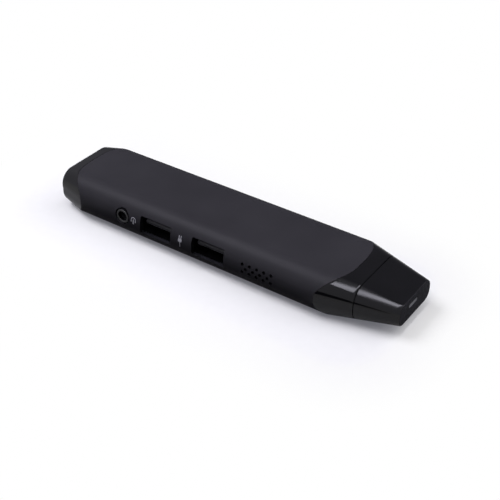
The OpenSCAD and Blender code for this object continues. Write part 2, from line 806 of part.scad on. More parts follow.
// Headset socket
leaf_t = 0.35;
leaf_l = 1.6;
leaf_ys = [0.2, 0.5, 0.8];
module jack_leaf(i, gap) {
  side = i % 2 == 0 ? 1 : -1;
  centre_x = jack_x + side * (jack_size - leaf_t) / 2;
  y = jack_body_y + jack_len * leaf_ys[i];
  box(
    [centre_x - leaf_t / 2 - gap, y - leaf_l / 2 - gap, board_top],
    [centre_x + leaf_t / 2 + gap, y + leaf_l / 2 + gap, jack_z + jack_bore / 4 + gap]
  );
}
module jack_body()
  color(plastic_black)
    difference() {
      union() {
        box(
          [jack_x - jack_size / 2, jack_body_y, jack_z - jack_size / 2],
          [jack_x + jack_size / 2, jack_back_y, jack_z + jack_size / 2]
        );
        rod_y(jack_x, jack_z, jack_ring_d, jack_nose_y, jack_body_y + cut);
      }
      rod_y(jack_x, jack_z, jack_bore, jack_nose_y - cut, jack_back_y - jack_end);
      for (i = [0:len(leaf_ys) - 1])
        jack_leaf(i, snug);
    }
module jack_ring()
  color("#8d8d92")
    difference() {
      rod_y(jack_x, jack_z, jack_ring_d, jack_face_y, jack_nose_y);
      rod_y(jack_x, jack_z, jack_bore, jack_face_y - cut, jack_nose_y + cut);
    }
module jack_contacts()
  color(gold)
    for (i = [0:len(leaf_ys) - 1])
      jack_leaf(i, 0);

// Power socket
micro_back_y = mouth_y - micro_depth;
micro_root = 1.4;
micro_tongue_w = 3.8;
micro_tongue_t = 0.6;
micro_pin_pitch = 0.65;
micro_pin_w = 0.35;
micro_pin_t = 0.15;
micro_in_w = micro_w - 2 * micro_t;
micro_in_h = micro_h - 2 * micro_t;
module micro_usb_shell()
  color(steel)
    difference() {
      box(
        [micro_x - micro_w / 2, micro_back_y, micro_z - micro_h / 2],
        [micro_x + micro_w / 2, mouth_y, micro_z + micro_h / 2]
      );
      box(
        [micro_x - micro_in_w / 2, micro_back_y - cut, micro_z - micro_in_h / 2],
        [micro_x + micro_in_w / 2, mouth_y + cut, micro_z + micro_in_h / 2]
      );
    }
module micro_usb_tongue()
  color(plastic_black)
    difference() {
      union() {
        box(
          [micro_x - micro_in_w / 2 + snug, micro_back_y, micro_z - micro_in_h / 2 + snug],
          [micro_x + micro_in_w / 2 - snug, micro_back_y + micro_root, micro_z + micro_in_h / 2 - snug]
        );
        box(
          [micro_x - micro_tongue_w / 2, micro_back_y + micro_root / 2, micro_z - micro_tongue_t / 2],
          [micro_x + micro_tongue_w / 2, mouth_y - tongue_back, micro_z + micro_tongue_t / 2]
        );
      }
      for (i = [-2:2])
        micro_pin(i, snug);
    }
module micro_pin(i, gap) {
  x = micro_x + i * micro_pin_pitch;
  z = micro_z - micro_tongue_t / 2;
  back = micro_back_y - foot_l;
  box(
    [x - micro_pin_w / 2 - gap, back, z - micro_pin_t - gap],
    [x + micro_pin_w / 2 + gap, mouth_y - 2 * tongue_back, z]
  );
  box(
    [x - micro_pin_w / 2 - gap, back, board_top],
    [x + micro_pin_w / 2 + gap, back + micro_pin_t, z]
  );
}
module micro_usb_contacts()
  color(gold)
    for (i = [-2:2])
      micro_pin(i, 0);

// Power button, its switch and the lamp
module power_button()
  color(matte_black) {
    oblong_y(button_x, mid_z, button_w, button_h, flange_y - flange_t, button_face_y);
    box(
      [button_x - button_w / 2 - flange_margin, flange_y - flange_t, mid_z - flange_half_h],
      [button_x + button_w / 2 + flange_margin, flange_y, mid_z + flange_half_h]
    );
  }
switch_top = mid_z + plunger_d;
switch_bore_y = switch_face_y - switch_depth + foot_l;
module switch_body()
  color(plastic_black)
    difference() {
      box(
        [button_x - switch_w / 2, switch_face_y - switch_depth, board_top],
        [button_x + switch_w / 2, switch_face_y, switch_top]
      );
      rod_y(button_x, mid_z, plunger_d + 2 * shaft_gap, switch_bore_y, switch_face_y + cut);
    }
module switch_plunger()
  color("#d9d6cf")
    rod_y(button_x, mid_z, plunger_d, switch_bore_y + 2 * button_travel, plunger_y);
lamp_l = 1.6;
lamp_w = 1;
lamp_h = 0.6;
pipe_in_y = flange_y - 2 * flange_t - pipe_d;
module status_lamp()
  color("#f2f2ee")
    box(
      [lamp_x - lamp_l / 2, pipe_in_y - lamp_w / 2, board_top],
      [lamp_x + lamp_l / 2, pipe_in_y + lamp_w / 2, board_top + lamp_h]
    );
module light_pipe()
  color("#e8eef2") {
    rod_y(lamp_x, mid_z, pipe_d, pipe_in_y, button_face_y);
    translate([lamp_x, pipe_in_y, board_top + lamp_h + snug])
      cylinder(d = pipe_d, h = mid_z - board_top - lamp_h - snug);
    translate([lamp_x, pipe_in_y, mid_z]) sphere(d = pipe_d);
  }

// Carrier, board and screws
carrier_bars = [tail_screw_x, land_a_x, land_b_x];
module screw_holes(points, d, z0, z1)
  for (p = points)
    translate([p[0], p[1], z0]) cylinder(d = d, h = z1 - z0);
all_screws = concat(tail_screws, spreader_points);
module board_carrier()
  color(plastic_black)
    difference() {
      intersection() {
        inside_bar(carrier_x0, carrier_x1, fit_gap);
        box([carrier_x0 - cut, -half_w, 0], [carrier_x1 + cut, half_w, board_low]);
      }
      for (i = [0:len(carrier_bars) - 2])
        box(
          [carrier_bars[i] + rib_w / 2, -board_half + rail_w, -cut],
          [carrier_bars[i + 1] - rib_w / 2, board_half - rail_w, body_h]
        );
      screw_holes(all_screws, screw_d + 2 * snug, board_low - screw_bite - snug, board_low + cut);
    }
module main_board() {
  notch = plug_w / 2 + plug_gap;
  notch_x = plug_rear_x - board_clear;
  half_outline = [
    [carrier_x0, board_half], [carrier_x1, board_half], [carrier_x1, board_neck],
    [board_x1, board_neck], [board_x1, notch], [notch_x, notch]
  ];
  other_half = [for (i = [len(half_outline) - 1:-1:0]) [half_outline[i][0], -half_outline[i][1]]];
  color(board_green)
    difference() {
      translate([0, 0, board_low])
        linear_extrude(board_t)
          polygon(concat(half_outline, other_half));
      screw_holes(all_screws, screw_d + 2 * screw_gap, board_low - cut, board_top + cut);
      for (x = [usb_rear_x, usb_front_x], s = [-1, 1])
        usb_tab(x, s, port_clear);
      for (x = [usb_rear_x, usb_front_x], s = [-1, 1])
        translate([0, 0, -board_t]) usb_tab(x, s, port_clear);
    }
}
module screws(points, seat_z)
  color(steel)
    for (p = points) {
      translate([p[0], p[1], board_low - screw_bite])
        cylinder(d = screw_d, h = seat_z - board_low + screw_bite);
      translate([p[0], p[1], seat_z])
        cylinder(d = screw_head_d, h = screw_head_h);
    }
module board_screws() screws(tail_screws, board_top);
module spreader_screws() screws(spreader_points, fan_z);

// Chips
module chip_top(x, y, l, w, t)
  box([x - l / 2, y - w / 2, board_top], [x + l / 2, y + w / 2, board_top + t]);
module chip_low(x, y, l, w, t)
  box([x - l / 2, y - w / 2, board_low - t], [x + l / 2, y + w / 2, board_low]);
module processor()
  color(chip_black)
    chip_top(vent_x, fan_y, soc_size, soc_size, soc_t);
module memory_chips()
  color(chip_black)
    for (s = [-1, 1])
      let (x = button_x + s * (switch_w / 2 + memory_gap + memory_size / 2))
      chip_top(x, spreader_y + memory_size / 2, memory_size, memory_size, chip_t);
module storage_chip()
  color(chip_black)
    chip_low(usb_rear_x, 0, storage_size, storage_size, chip_t);
module power_chip()
  color(chip_black)
    chip_low(micro_x, 0, power_size, power_size, chip_t);
module inductors()
  color("#4a4a4d")
    for (i = [-1:1])
      chip_low(vent_x + i * coil_pitch, 0, coil_size, coil_size, coil_t);

// Radio module, aerial in the tail, and the lead between them
lead_y = radio_w / 4;
lead_z = board_top + radio_t + lead_d / 2;
aerial_x = -half_l + tail_wall;
module radio_module()
  color(steel)
    chip_top(radio_x, 0, radio_l, radio_w, radio_t);
module aerial()
  color(copper)
    translate([aerial_x, -aerial_w / 2, mid_z - aerial_h / 2])
      cube([aerial_t, aerial_w, aerial_h]);
module aerial_lead()
  color(chip_black)
    translate([aerial_x + aerial_t, lead_y, lead_z])
      rotate([0, 90, 0])
        cylinder(d = lead_d, h = radio_x - aerial_x - aerial_t);

// Cooling: pad, spreader, fins and blower
module thermal_pad()
  color("#8fa3b0")
    translate([vent_x - soc_size / 2, fan_y - soc_size / 2, board_top + soc_t])
      cube([soc_size, soc_size, pad_t]);
module heat_spreader() {
  x0 = land_a_x - land_w / 2;
  x1 = land_b_x + land_w / 2;
  step_x = vent_x - fan_size / 2;
  fan_front_y = fan_y - fan_size / 2;
  color(copper)
    difference() {
      union() {
        translate([0, 0, spreader_z])
          linear_extrude(spreader_t)
            polygon([
              [x0, spreader_y], [step_x, spreader_y], [step_x, fan_front_y],
              [x1, fan_front_y], [x1, back_y], [x0, back_y]
            ]);
        screw_holes(spreader_points, post_d, board_top, fan_z);
      }
      screw_holes(spreader_points, screw_d + 2 * screw_gap, board_top - cut, fan_z + cut);
    }
}
module heatsink_fins() {
  fin_x = scroll_r;
  count = floor(2 * fin_x / fin_pitch);
  color(copper) {
    box([vent_x - fin_x, back_y - fin_depth, fan_z], [vent_x + fin_x, back_y, fan_z + fin_foot]);
    for (i = [0:count])
      translate([vent_x + (i - count / 2) * fin_pitch - fin_t / 2, back_y - fin_depth, fan_z])
        cube([fin_t, fin_depth, fin_h]);
  }
}
module at_fan()
  translate([vent_x, fan_y, fan_z]) children();
module tube(r_out, r_in, z0, z1)
  difference() {
    translate([0, 0, z0]) cylinder(r = r_out, h = z1 - z0);
    translate([0, 0, z0 - cut]) cylinder(r = r_in, h = z1 - z0 + 2 * cut);
  }
module fan_housing()
  color(plastic_black)
    at_fan() {
      difference() {
        box([-fan_size / 2, -fan_size / 2, 0], [fan_size / 2, fan_size / 2, fan_inner_h]);
        translate([0, 0, fan_base]) cylinder(r = scroll_r, h = fan_h);
        box([-scroll_r, 0, fan_base], [scroll_r - blade_gap, fan_size, fan_h]);
      }
      tube(boss_r, bearing_d / 2 + snug, fan_base / 2, boss_h);
    }
module fan_cover()
  color(plastic_black)
    at_fan()
      difference() {
        box([-fan_size / 2, -fan_size / 2, fan_inner_h], [fan_size / 2, fan_size / 2, fan_h]);
        translate([0, 0, fan_inner_h - cut]) cylinder(d = inlet_d, h = fan_h);
      }
module fan_bearing()
  color("#a9854f")
    at_fan() tube(bearing_d / 2, shaft_d / 2 + shaft_gap, fan_base, boss_h);
module fan_stator()
  color(copper)
    at_fan() tube(stator_r, boss_r + snug, fan_base, boss_h - blade_float);
module fan_impeller()
  color(plastic_black)
    at_fan() {
      tube(hub_d / 2, hub_in_r, blade_z0, blade_z1);
      tube(hub_d / 2, shaft_d / 2 + snug, hub_top_z, blade_z1);
      tube(blade_r, hub_d / 2 - hub_wall / 2, blade_z0, blade_z0 + hub_wall);
      for (i = [0:blade_count - 1])
        rotate([0, 0, 360 * i / blade_count])
          translate([hub_d / 2 - hub_wall / 2, -blade_t / 2, blade_z0])
            cube([blade_r - hub_d / 2, blade_t, blade_z1 - blade_z0]);
    }
module fan_magnet()
  color("#55565a")
    at_fan() tube(hub_in_r - snug, magnet_in_r, blade_z0, hub_top_z);
module fan_shaft()
  color(steel)
    at_fan()
      translate([0, 0, fan_base + blade_float / 2])
        cylinder(d = shaft_d, h = blade_z1 - fan_base - blade_float / 2);

sleeve();
tail_cap();
front_collar();
hdmi_cap();
hdmi_shell();
hdmi_insulator();
hdmi_contacts();
usb_rear_shell();
usb_rear_tongue();
usb_rear_contacts();
usb_front_shell();
usb_front_tongue();
usb_front_contacts();
jack_body();
jack_ring();
jack_contacts();
micro_usb_shell();
micro_usb_tongue();
micro_usb_contacts();
power_button();
switch_body();
switch_plunger();
status_lamp();
light_pipe();
board_carrier();
main_board();
board_screws();
spreader_screws();
processor();
memory_chips();
storage_chip();
power_chip();
inductors();
radio_module();
aerial();
aerial_lead();
thermal_pad();
heat_spreader();
heatsink_fins();
fan_housing();
fan_cover();
fan_bearing();
fan_stator();
fan_impeller();
fan_magnet();
fan_shaft();
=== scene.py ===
import json
import math
import bmesh
import bpy
from mathutils import Matrix, Vector


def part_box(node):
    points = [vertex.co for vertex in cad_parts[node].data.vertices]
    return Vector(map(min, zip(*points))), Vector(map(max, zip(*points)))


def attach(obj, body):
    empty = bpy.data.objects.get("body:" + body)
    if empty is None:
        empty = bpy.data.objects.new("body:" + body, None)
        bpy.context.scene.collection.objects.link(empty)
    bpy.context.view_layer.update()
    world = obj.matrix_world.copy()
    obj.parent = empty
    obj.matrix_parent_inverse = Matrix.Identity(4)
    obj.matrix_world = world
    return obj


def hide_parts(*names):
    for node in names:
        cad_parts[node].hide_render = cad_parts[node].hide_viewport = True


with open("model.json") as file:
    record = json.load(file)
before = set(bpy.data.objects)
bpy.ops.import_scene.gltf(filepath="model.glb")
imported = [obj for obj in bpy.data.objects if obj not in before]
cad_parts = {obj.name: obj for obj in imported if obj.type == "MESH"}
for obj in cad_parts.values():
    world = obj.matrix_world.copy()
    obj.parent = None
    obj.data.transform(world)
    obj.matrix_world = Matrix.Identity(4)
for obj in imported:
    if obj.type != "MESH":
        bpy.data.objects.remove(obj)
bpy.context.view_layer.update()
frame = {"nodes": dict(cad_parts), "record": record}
nodes = frame["nodes"]
slotOf = {part["node"]: part["material_slot"] for part in frame["record"]["subparts"]}
mm = 0.001              # pieces are modelled in millimetres and brought to metres when finished


def boxMm(node):
    low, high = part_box(node)
    return low / mm, high / mm


def centreOf(node):
    low, high = boxMm(node)
    return (low + high) / 2


# Body, shared by the sleeve and both end pieces
body = {
    "edgeRadius": 7.2,      # of the four long edges
    "wall": 1.5,
    "cornerSteps": 20,      # facets of one rounded corner
    "topCuts": 23,          # cuts across the flat top and underside
    "splitPower": 3.2,      # how square the split lines are in plan
    "splitGap": 0.02,       # half the line between the sleeve and an end piece
    "splitEase": 0.04,      # rounding of the edges on the split lines
    "print": 0.02,          # thickness of the printed signs, kept within the CAD's width
}
sleeveHigh = boxMm("sleeve")[1]
tailLow, tailHigh = boxMm("tail_cap")
collarLow, collarHigh = boxMm("front_collar")
capLow, capHigh = boxMm("hdmi_cap")
plugLow, plugHigh = boxMm("hdmi_shell")
halfW = sleeveHigh.y - body["print"]
midZ = sleeveHigh.z / 2
outerSection = (halfW, midZ, body["edgeRadius"])        # half width, half height, corner radius
innerSection = tuple(size - body["wall"] for size in outerSection)

# Tapered ends: size of the end face, how far from it the sides and the top reach the body's size,
# and the corner radius there
nose = {
    "endX": capHigh.x, "w": 20.8, "h": 7.8, "r": 3.2,
    "sideLen": 27.5, "topLen": 19.7, "startR": 7.9,
}
tail = {
    "endX": tailLow.x, "w": 27.2, "h": 13.3, "r": 5.3,
    "sideLen": 12.1, "topLen": 4.6, "startR": 7.9,
}


def inwardX(end):
    return -1 if end["endX"] > 0 else 1     # the way from an end face to the middle


def taperSection(end, distance):
    # section of a tapered end at a distance from its end face
    side = distance / end["sideLen"]
    top = distance / end["topLen"]
    return (
        end["w"] / 2 + (halfW - end["w"] / 2) * side,
        end["h"] / 2 + (midZ - end["h"] / 2) * top,
        end["r"] + (end["startR"] - end["r"]) * side,
    )


def splitX(end, y):
    # the line where the sleeve stops, bulging outwards between the sides
    bulge = (end["sideLen"] - end["topLen"]) * (abs(y) / halfW) ** body["splitPower"]
    return end["endX"] + inwardX(end) * (end["topLen"] + bulge)


def sideY(z):
    # how far the sleeve's side stands out at a height
    over = max(0, abs(z - midZ) - midZ + body["edgeRadius"])
    return halfW - body["edgeRadius"] + math.sqrt(body["edgeRadius"] ** 2 - over ** 2)


# Small tools for the meshes
meshing = {
    "same": 1e-4,           # places closer than this are one
    "merge": 0.0005,
    "sharpFrom": 34,        # degrees between two faces from which their edge shows
    "spare": 1.0,           # how far a cutter reaches past what it cuts
    "sliver": 0.005,        # flat left between the two round ends of a slot
}


def addObject(name, data):
    obj = bpy.data.objects.new(name, data)
    bpy.context.scene.collection.objects.link(obj)
    return obj


def meshObject(name, bm):
    mesh = bpy.data.meshes.new(name)
    bm.to_mesh(mesh)
    bm.free()
    return addObject(name, mesh)


def roundCorners(bm, verts, radius, steps):
    # rounds a flat outline and keeps its edges without the face
    made = bmesh.ops.bevel(
        bm, geom=verts, offset=radius, segments=steps, profile=0.5,
        affect='VERTICES', material=-1)["verts"]
    face = made[0].link_faces[0]
    loop = list(face.edges)
    bmesh.ops.delete(bm, geom=[face], context='FACES_ONLY')
    return loop


def roundedLoop(bm, x, wide, tall, radius):
    # one section of the body, with the flats cut up so that they can follow a split line
    corners = bmesh.ops.create_grid(bm, x_segments=1, y_segments=1, size=1)["verts"]
    place = Matrix(((0, 0, 1, x), (wide, 0, 0, 0), (0, tall, 0, midZ), (0, 0, 0, 1)))
    bmesh.ops.transform(bm, matrix=place, verts=corners)
    loop = roundCorners(bm, corners, radius, body["cornerSteps"])
    flats = sorted(loop, key=lambda e: abs(e.verts[0].co.y - e.verts[1].co.y))[-2:]
    more = bmesh.ops.subdivide_edges(bm, edges=flats, cuts=body["topCuts"])["geom"]
    loop += [g for g in more if isinstance(g, bmesh.types.BMEdge)]
    return list(dict.fromkeys(loop))


def loopVerts(loop):
    return list(dict.fromkeys(v for e in loop for v in e.verts))


def putOnSplit(loop, end, side):
    # side is 1 for the sleeve's edge of the split line, -1 for the end piece's
    for v in loopVerts(loop):
        v.co.x = splitX(end, v.co.y) + side * inwardX(end) * body["splitGap"]


def bridge(bm, loops, lengthCuts=0):
    # skins from loop to loop; the first strip may be cut along its length for an even surface
    for first, second in zip(loops, loops[1:]):
        strip = bmesh.ops.bridge_loops(bm, edges=first + second)["edges"]
        if lengthCuts:
            bmesh.ops.subdivide_edges(bm, edges=strip, cuts=lengthCuts)
            lengthCuts = 0


def closeLoop(bm, loop, materialIndex=0):
    for face in bmesh.ops.contextual_create(bm, geom=loop)["faces"]:
        face.material_index = materialIndex


def ease(bm, edges, size, steps=3, clamp=True):
    bmesh.ops.bevel(
        bm, geom=edges, offset=size, segments=steps, profile=0.5, affect='EDGES',
        material=-1, clamp_overlap=clamp)


def addBox(bm, low, high):
    made = bmesh.ops.create_cube(bm, size=1)["verts"]
    low, high = Vector(low), Vector(high)
    place = Matrix.Translation((low + high) / 2) @ Matrix.Diagonal((*(high - low), 1))
    bmesh.ops.transform(bm, matrix=place, verts=made)
    return made


def edgesAlong(verts, axis):
    # those edges of a box that run along one axis
    edges = dict.fromkeys(e for v in verts for e in v.link_edges)
    return [e for e in edges if abs(e.verts[0].co[axis] - e.verts[1].co[axis]) > meshing["same"]]


def addRod(bm, x, z, radius, y0, y1, steps):
    made = bmesh.ops.create_cone(
        bm, cap_ends=True, segments=steps, radius1=radius, radius2=radius, depth=y1 - y0)["verts"]
    place = Matrix.Translation((x, (y0 + y1) / 2, z)) @ Matrix.Rotation(math.pi / 2, 4, 'X')
    bmesh.ops.transform(bm, matrix=place, verts=made)


def cutAway(bm, cutter):
    # both meshes are used up; the walls of the cut keep the cutter's material numbers
    bmesh.ops.recalc_face_normals(bm, faces=bm.faces)
    bmesh.ops.recalc_face_normals(cutter, faces=cutter.faces)
    work = meshObject("work", bm)
    tool = meshObject("tool", cutter)
    cut = work.modifiers.new("cut", 'BOOLEAN')
    cut.object = tool
    cut.solver = 'EXACT'
    bpy.context.view_layer.update()
    result = work.evaluated_get(bpy.context.evaluated_depsgraph_get()).to_mesh()
    carved = bmesh.new()
    carved.from_mesh(result)
    for obj in (work, tool):
        old = obj.data
        bpy.data.objects.remove(obj)
        bpy.data.meshes.remove(old)
    return carved


def finishPiece(bm, name, looks, rides, stands=()):
    bmesh.ops.remove_doubles(bm, verts=bm.verts, dist=meshing["merge"])
    bmesh.ops.recalc_face_normals(bm, faces=bm.faces)
    bmesh.ops.scale(bm, vec=(mm, mm, mm), verts=bm.verts)
    piece = meshObject(name, bm)
    piece.data.shade_smooth()
    piece.data.set_sharp_from_angle(angle=math.radians(meshing["sharpFrom"]))
    flat = piece.modifiers.new("weightedNormals", 'WEIGHTED_NORMAL')
    flat.keep_sharp = True
    for look in looks:
        piece.data.materials.append(look)
    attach(piece, rides)
    if stands:
        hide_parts(*stands)


# Materials
noise = {
    "fineDetail": 3.0, "broadDetail": 2.0,
    "span": (0.3, 0.7),     # most of a noise's values lie here
}


def toLinear(code):
    # sRGB hex to linear red, green, blue and a full alpha
    parts = [int(code[i:i + 2], 16) / 255 for i in (1, 3, 5)]
    return [p / 12.92 if p <= 0.04045 else ((p + 0.055) / 1.055) ** 2.4 for p in parts] + [1]


def addNode(tree, kind, links=None, **settings):
    node = tree.nodes.new("ShaderNode" + kind)
    for name, value in settings.items():
        setattr(node, name, value)
    for socket, source in (links or {}).items():
        if isinstance(source, bpy.types.NodeSocket):
            tree.links.new(source, node.inputs[socket])
        else:
            node.inputs[socket].default_value = source
    return node


def newMaterial(name):
    material = bpy.data.materials.new(name)
    material.use_nodes = True
    tree = material.node_tree
    tree.nodes.clear()
    place = addNode(tree, "TexCoord").outputs["Object"]
    return material, tree, place


def perMm(size):
    return 1 / (size * mm)      # texture scale at which one cell is that many millimetres


def closeMaterial(tree, sockets):
    shader = addNode(tree, "BsdfPrincipled", sockets)
    addNode(tree, "OutputMaterial", {"Surface": shader.outputs["BSDF"]})


def blendColours(tree, factor, low, high, span=noise["span"]):
    ramp = addNode(tree, "ValToRGB", {"Fac": factor})
    for element, place, code in zip(ramp.color_ramp.elements, span, (low, high)):
        element.position = place
        element.color = toLinear(code)
    return ramp.outputs["Color"]


def grainBump(tree, height, depth, strength=1.0):
    return addNode(
        tree, "Bump", {"Height": height, "Distance": depth * mm, "Strength": strength}).outputs["Normal"]


def plainSurface(name, look):
    # grain and broad unevenness from two noises, for finishes that differ only in their numbers
    material, tree, place = newMaterial(name)
    grain = addNode(tree, "TexNoise", {
        "Vector": place, "Scale": perMm(look["grain"]), "Detail": noise["fineDetail"]}).outputs["Fac"]
    broad = addNode(tree, "TexNoise", {
        "Vector": place, "Scale": perMm(look["broad"]), "Detail": noise["broadDetail"]}).outputs["Fac"]
    rough = addNode(tree, "MapRange", {
        "Value": broad, "From Min": noise["span"][0], "From Max": noise["span"][1],
        "To Min": look["rough"][0], "To Max": look["rough"][1]}).outputs["Result"]
    sockets = {
        "Base Color": blendColours(tree, broad, *look["colours"]),
        "Roughness": rough,
        "Normal": grainBump(tree, grain, look["depth"]),
    }
    if "coat" in look:
        # the shine sits in a thin outer layer, over a base that has none
        sockets.update({
            "Specular IOR Level": 0.0, "Coat Weight": look["coat"], "Coat Roughness": rough,
            "Coat Normal": sockets["Normal"]})
    sockets.update(look.get("sockets", {}))
    closeMaterial(tree, sockets)
    return material


# Each finish: two colours it wanders between, roughness range, and in millimetres the grain's size
# and depth and the size of the broad unevenness

# Soft-touch paint sprayed on moulded plastic: dull charcoal, a fine sand grain, faint broad smudges
softTouch = plainSurface("softTouchPaint", {
    "colours": ("#302f32", "#353437"), "rough": (0.36, 0.42), "coat": 0.1,
    "grain": 0.3, "depth": 0.012, "broad": 24,      # the real grain is finer and would not show
})
# Black ABS from a polished mould: deep, mirror-like, with the slightest waviness
glossAbs = plainSurface("polishedAbs", {
    "colours": ("#0d0d0f", "#111013"), "rough": (0.09, 0.13), "coat": 0.45,
    "grain": 5, "depth": 0.004, "broad": 9,
})
# The same plastic off a spark-eroded mould face: dull, dark grey, finely mottled
erodedAbs = plainSurface("erodedAbs", {
    "colours": ("#2b2b30", "#44444a"), "rough": (0.42, 0.55), "coat": 0.12,
    "grain": 0.5, "depth": 0.05, "broad": 0.9,      # the real pits are finer and would not show
})
# Bare ABS where the openings cut through the paint: dull, and made nearly black as painted shade in the
# openings
bareAbsAndPaintedShade = plainSurface("bareAbsAndPaintedShade", {
    "colours": ("#0b0b0d", "#121214"), "rough": (0.5, 0.6), "coat": 0.04,
    "grain": 0.25, "depth": 0.008, "broad": 2,
})
# The same, a shade lighter on the opening walls that face up or towards the nose: painted light on the
# lit walls
paintedLightAbs = plainSurface("paintedLightAbs", {
    "colours": ("#1b1b1e", "#242428"), "rough": (0.45, 0.55), "coat": 0.06,
    "grain": 0.25, "depth": 0.008, "broad": 2,
})
# Glass-filled nylon of the connector bodies: dull black with a fine fleck
blackNylon = plainSurface("glassFilledNylon", {
    "colours": ("#17171a", "#202024"), "rough": (0.42, 0.55), "grain": 0.2, "depth": 0.01, "broad": 3,
})
# Grey on the flat sockets' tongues, paler than the shells round them: painted light for the light that
# falls on their fronts
tonguePaintedLight = plainSurface("tonguePaintedLight", {
    "colours": ("#3e3e42", "#4a4a4e"), "rough": (0.42, 0.55), "grain": 0.2, "depth": 0.01, "broad": 3,
})
# Nickel plate on rolled steel sheet: soft grey mirror, faintly uneven
nickelSteel = plainSurface("nickelPlatedSteel", {
    "colours": ("#8f9094", "#a3a4a8"), "rough": (0.24, 0.34), "grain": 0.6, "depth": 0.003, "broad": 4,
    "sockets": {"Metallic": 1.0},
})
# Nickel of the flat sockets' shells, darkened to a dull, dark mirror: painted shade for the shells
# inside their openings
nickelPaintedShade = plainSurface("nickelPaintedShade", {
    "colours": ("#1a1a1c", "#242427"), "rough": (0.34, 0.44), "grain": 0.6, "depth": 0.003, "broad": 4,
    "sockets": {"Metallic": 1.0},
})
# Flash gold on the contacts: warm and bright
flashGold = plainSurface("flashGold", {
    "colours": ("#c79a45", "#d9b467"), "rough": (0.2, 0.3), "grain": 0.3, "depth": 0.002, "broad": 1.5,
    "sockets": {"Metallic": 1.0},
})
# Grey ABS ring of the headset socket: satin, moulded
greyAbs = plainSurface("satinGreyAbs", {
    "colours": ("#535352", "#5d5d5b"), "rough": (0.3, 0.4), "grain": 0.25, "depth": 0.006, "broad": 2,
    "sockets": {"Specular IOR Level": 0.3},
})
# Pale grey on the faces of the cap's slot: a painted highlight for the light that the slot's lower wall
# catches
slotPaintedHighlight = plainSurface("slotPaintedHighlight", {
    "colours": ("#84848a", "#929298"), "rough": (0.4, 0.5), "grain": 0.3, "depth": 0.004, "broad": 1.5,
    "sockets": {"Specular IOR Level": 0.2},
})
# White plastic of the small inner parts: warm white, satin
whiteResin = plainSurface("whiteResin", {
    "colours": ("#d8d6d0", "#e6e4de"), "rough": (0.4, 0.5), "grain": 0.2, "depth": 0.005, "broad": 1.5,
})
# Screen-printed ink: pale grey, slightly uneven cover
paleInk = plainSurface("screenPrintInk", {
    "colours": ("#a9a9ae", "#bdbdc2"), "rough": (0.45, 0.6), "grain": 0.15, "depth": 0.003, "broad": 0.8,
})
# Clear acrylic of the light pipe: glassy, with a polished end
clearAcrylic = plainSurface("clearAcrylic", {
    "colours": ("#e9edf0", "#f2f5f7"), "rough": (0.05, 0.12), "grain": 0.5, "depth": 0.001, "broad": 1,
    "sockets": {"Transmission Weight": 1.0, "IOR": 1.49},
})
# Epoxy moulding compound of the chips: matt black, finely sandy
chipEpoxy = plainSurface("epoxyMouldingCompound", {
    "colours": ("#1a1a1c", "#242427"), "rough": (0.55, 0.7), "grain": 0.12, "depth": 0.01, "broad": 2,
})
# Rolled copper of the spreader and fins: warm, a little tarnished
rolledCopper = plainSurface("rolledCopper", {
    "colours": ("#a0643c", "#c08052"), "rough": (0.26, 0.4), "grain": 0.4, "depth": 0.004, "broad": 5,
    "sockets": {"Metallic": 1.0},
})
# Silicone gap pad: soft grey-blue, dull
siliconePad = plainSurface("siliconePad", {
    "colours": ("#7d8d98", "#8d9da8"), "rough": (0.7, 0.85), "grain": 0.3, "depth": 0.02, "broad": 3,
})
# Extruded vinyl jacket of the aerial lead: smooth black with a soft sheen
vinylJacket = plainSurface("vinylJacket", {
    "colours": ("#141415", "#1c1c1e"), "rough": (0.38, 0.5), "grain": 0.2, "depth": 0.004, "broad": 2,
})
# Oil-filled sintered bronze of the bearing: dull gold, finely pored
sinteredBronze = plainSurface("sinteredBronze", {
    "colours": ("#8a6a3c", "#a9854f"), "rough": (0.35, 0.55), "grain": 0.1, "depth": 0.01, "broad": 0.6,
    "sockets": {"Metallic": 1.0},
})
# Sintered ferrite of the coils and the ring magnet: dark grey, chalky
sinteredFerrite = plainSurface("sinteredFerrite", {
    "colours": ("#3d3d41", "#4c4c50"), "rough": (0.6, 0.75), "grain": 0.12, "depth": 0.01, "broad": 1.2,
})
# Epoxy glass board under green solder mask: copper tracks show as slightly paler lines
boardLook = {
    "mask": ("#17402f", "#1b4936"), "track": "#2c6a4f",
    "pitch": 1.2, "line": 0.04,         # millimetres from track to track, and a track's share of that
    "weave": 0.4, "rough": (0.28, 0.42),
    "depth": 0.02, "strength": 0.5,     # of the tracks under the mask
}


def makeSolderMask():
    material, tree, place = newMaterial("solderMaskBoard")
    tracks = addNode(tree, "TexBrick", {
        "Vector": place, "Scale": perMm(boardLook["pitch"]), "Mortar Size": boardLook["line"],
        "Color1": toLinear(boardLook["mask"][0]), "Color2": toLinear(boardLook["mask"][1]),
        "Mortar": toLinear(boardLook["track"])})
    weave = addNode(tree, "TexNoise", {
        "Vector": place, "Scale": perMm(boardLook["weave"])}).outputs["Fac"]
    rough = addNode(tree, "MapRange", {
        "Value": weave, "To Min": boardLook["rough"][0],
        "To Max": boardLook["rough"][1]}).outputs["Result"]
    closeMaterial(tree, {
        "Base Color": tracks.outputs["Color"], "Roughness": rough,
        "Normal": grainBump(tree, tracks.outputs["Fac"], boardLook["depth"], boardLook["strength"])})
    return material


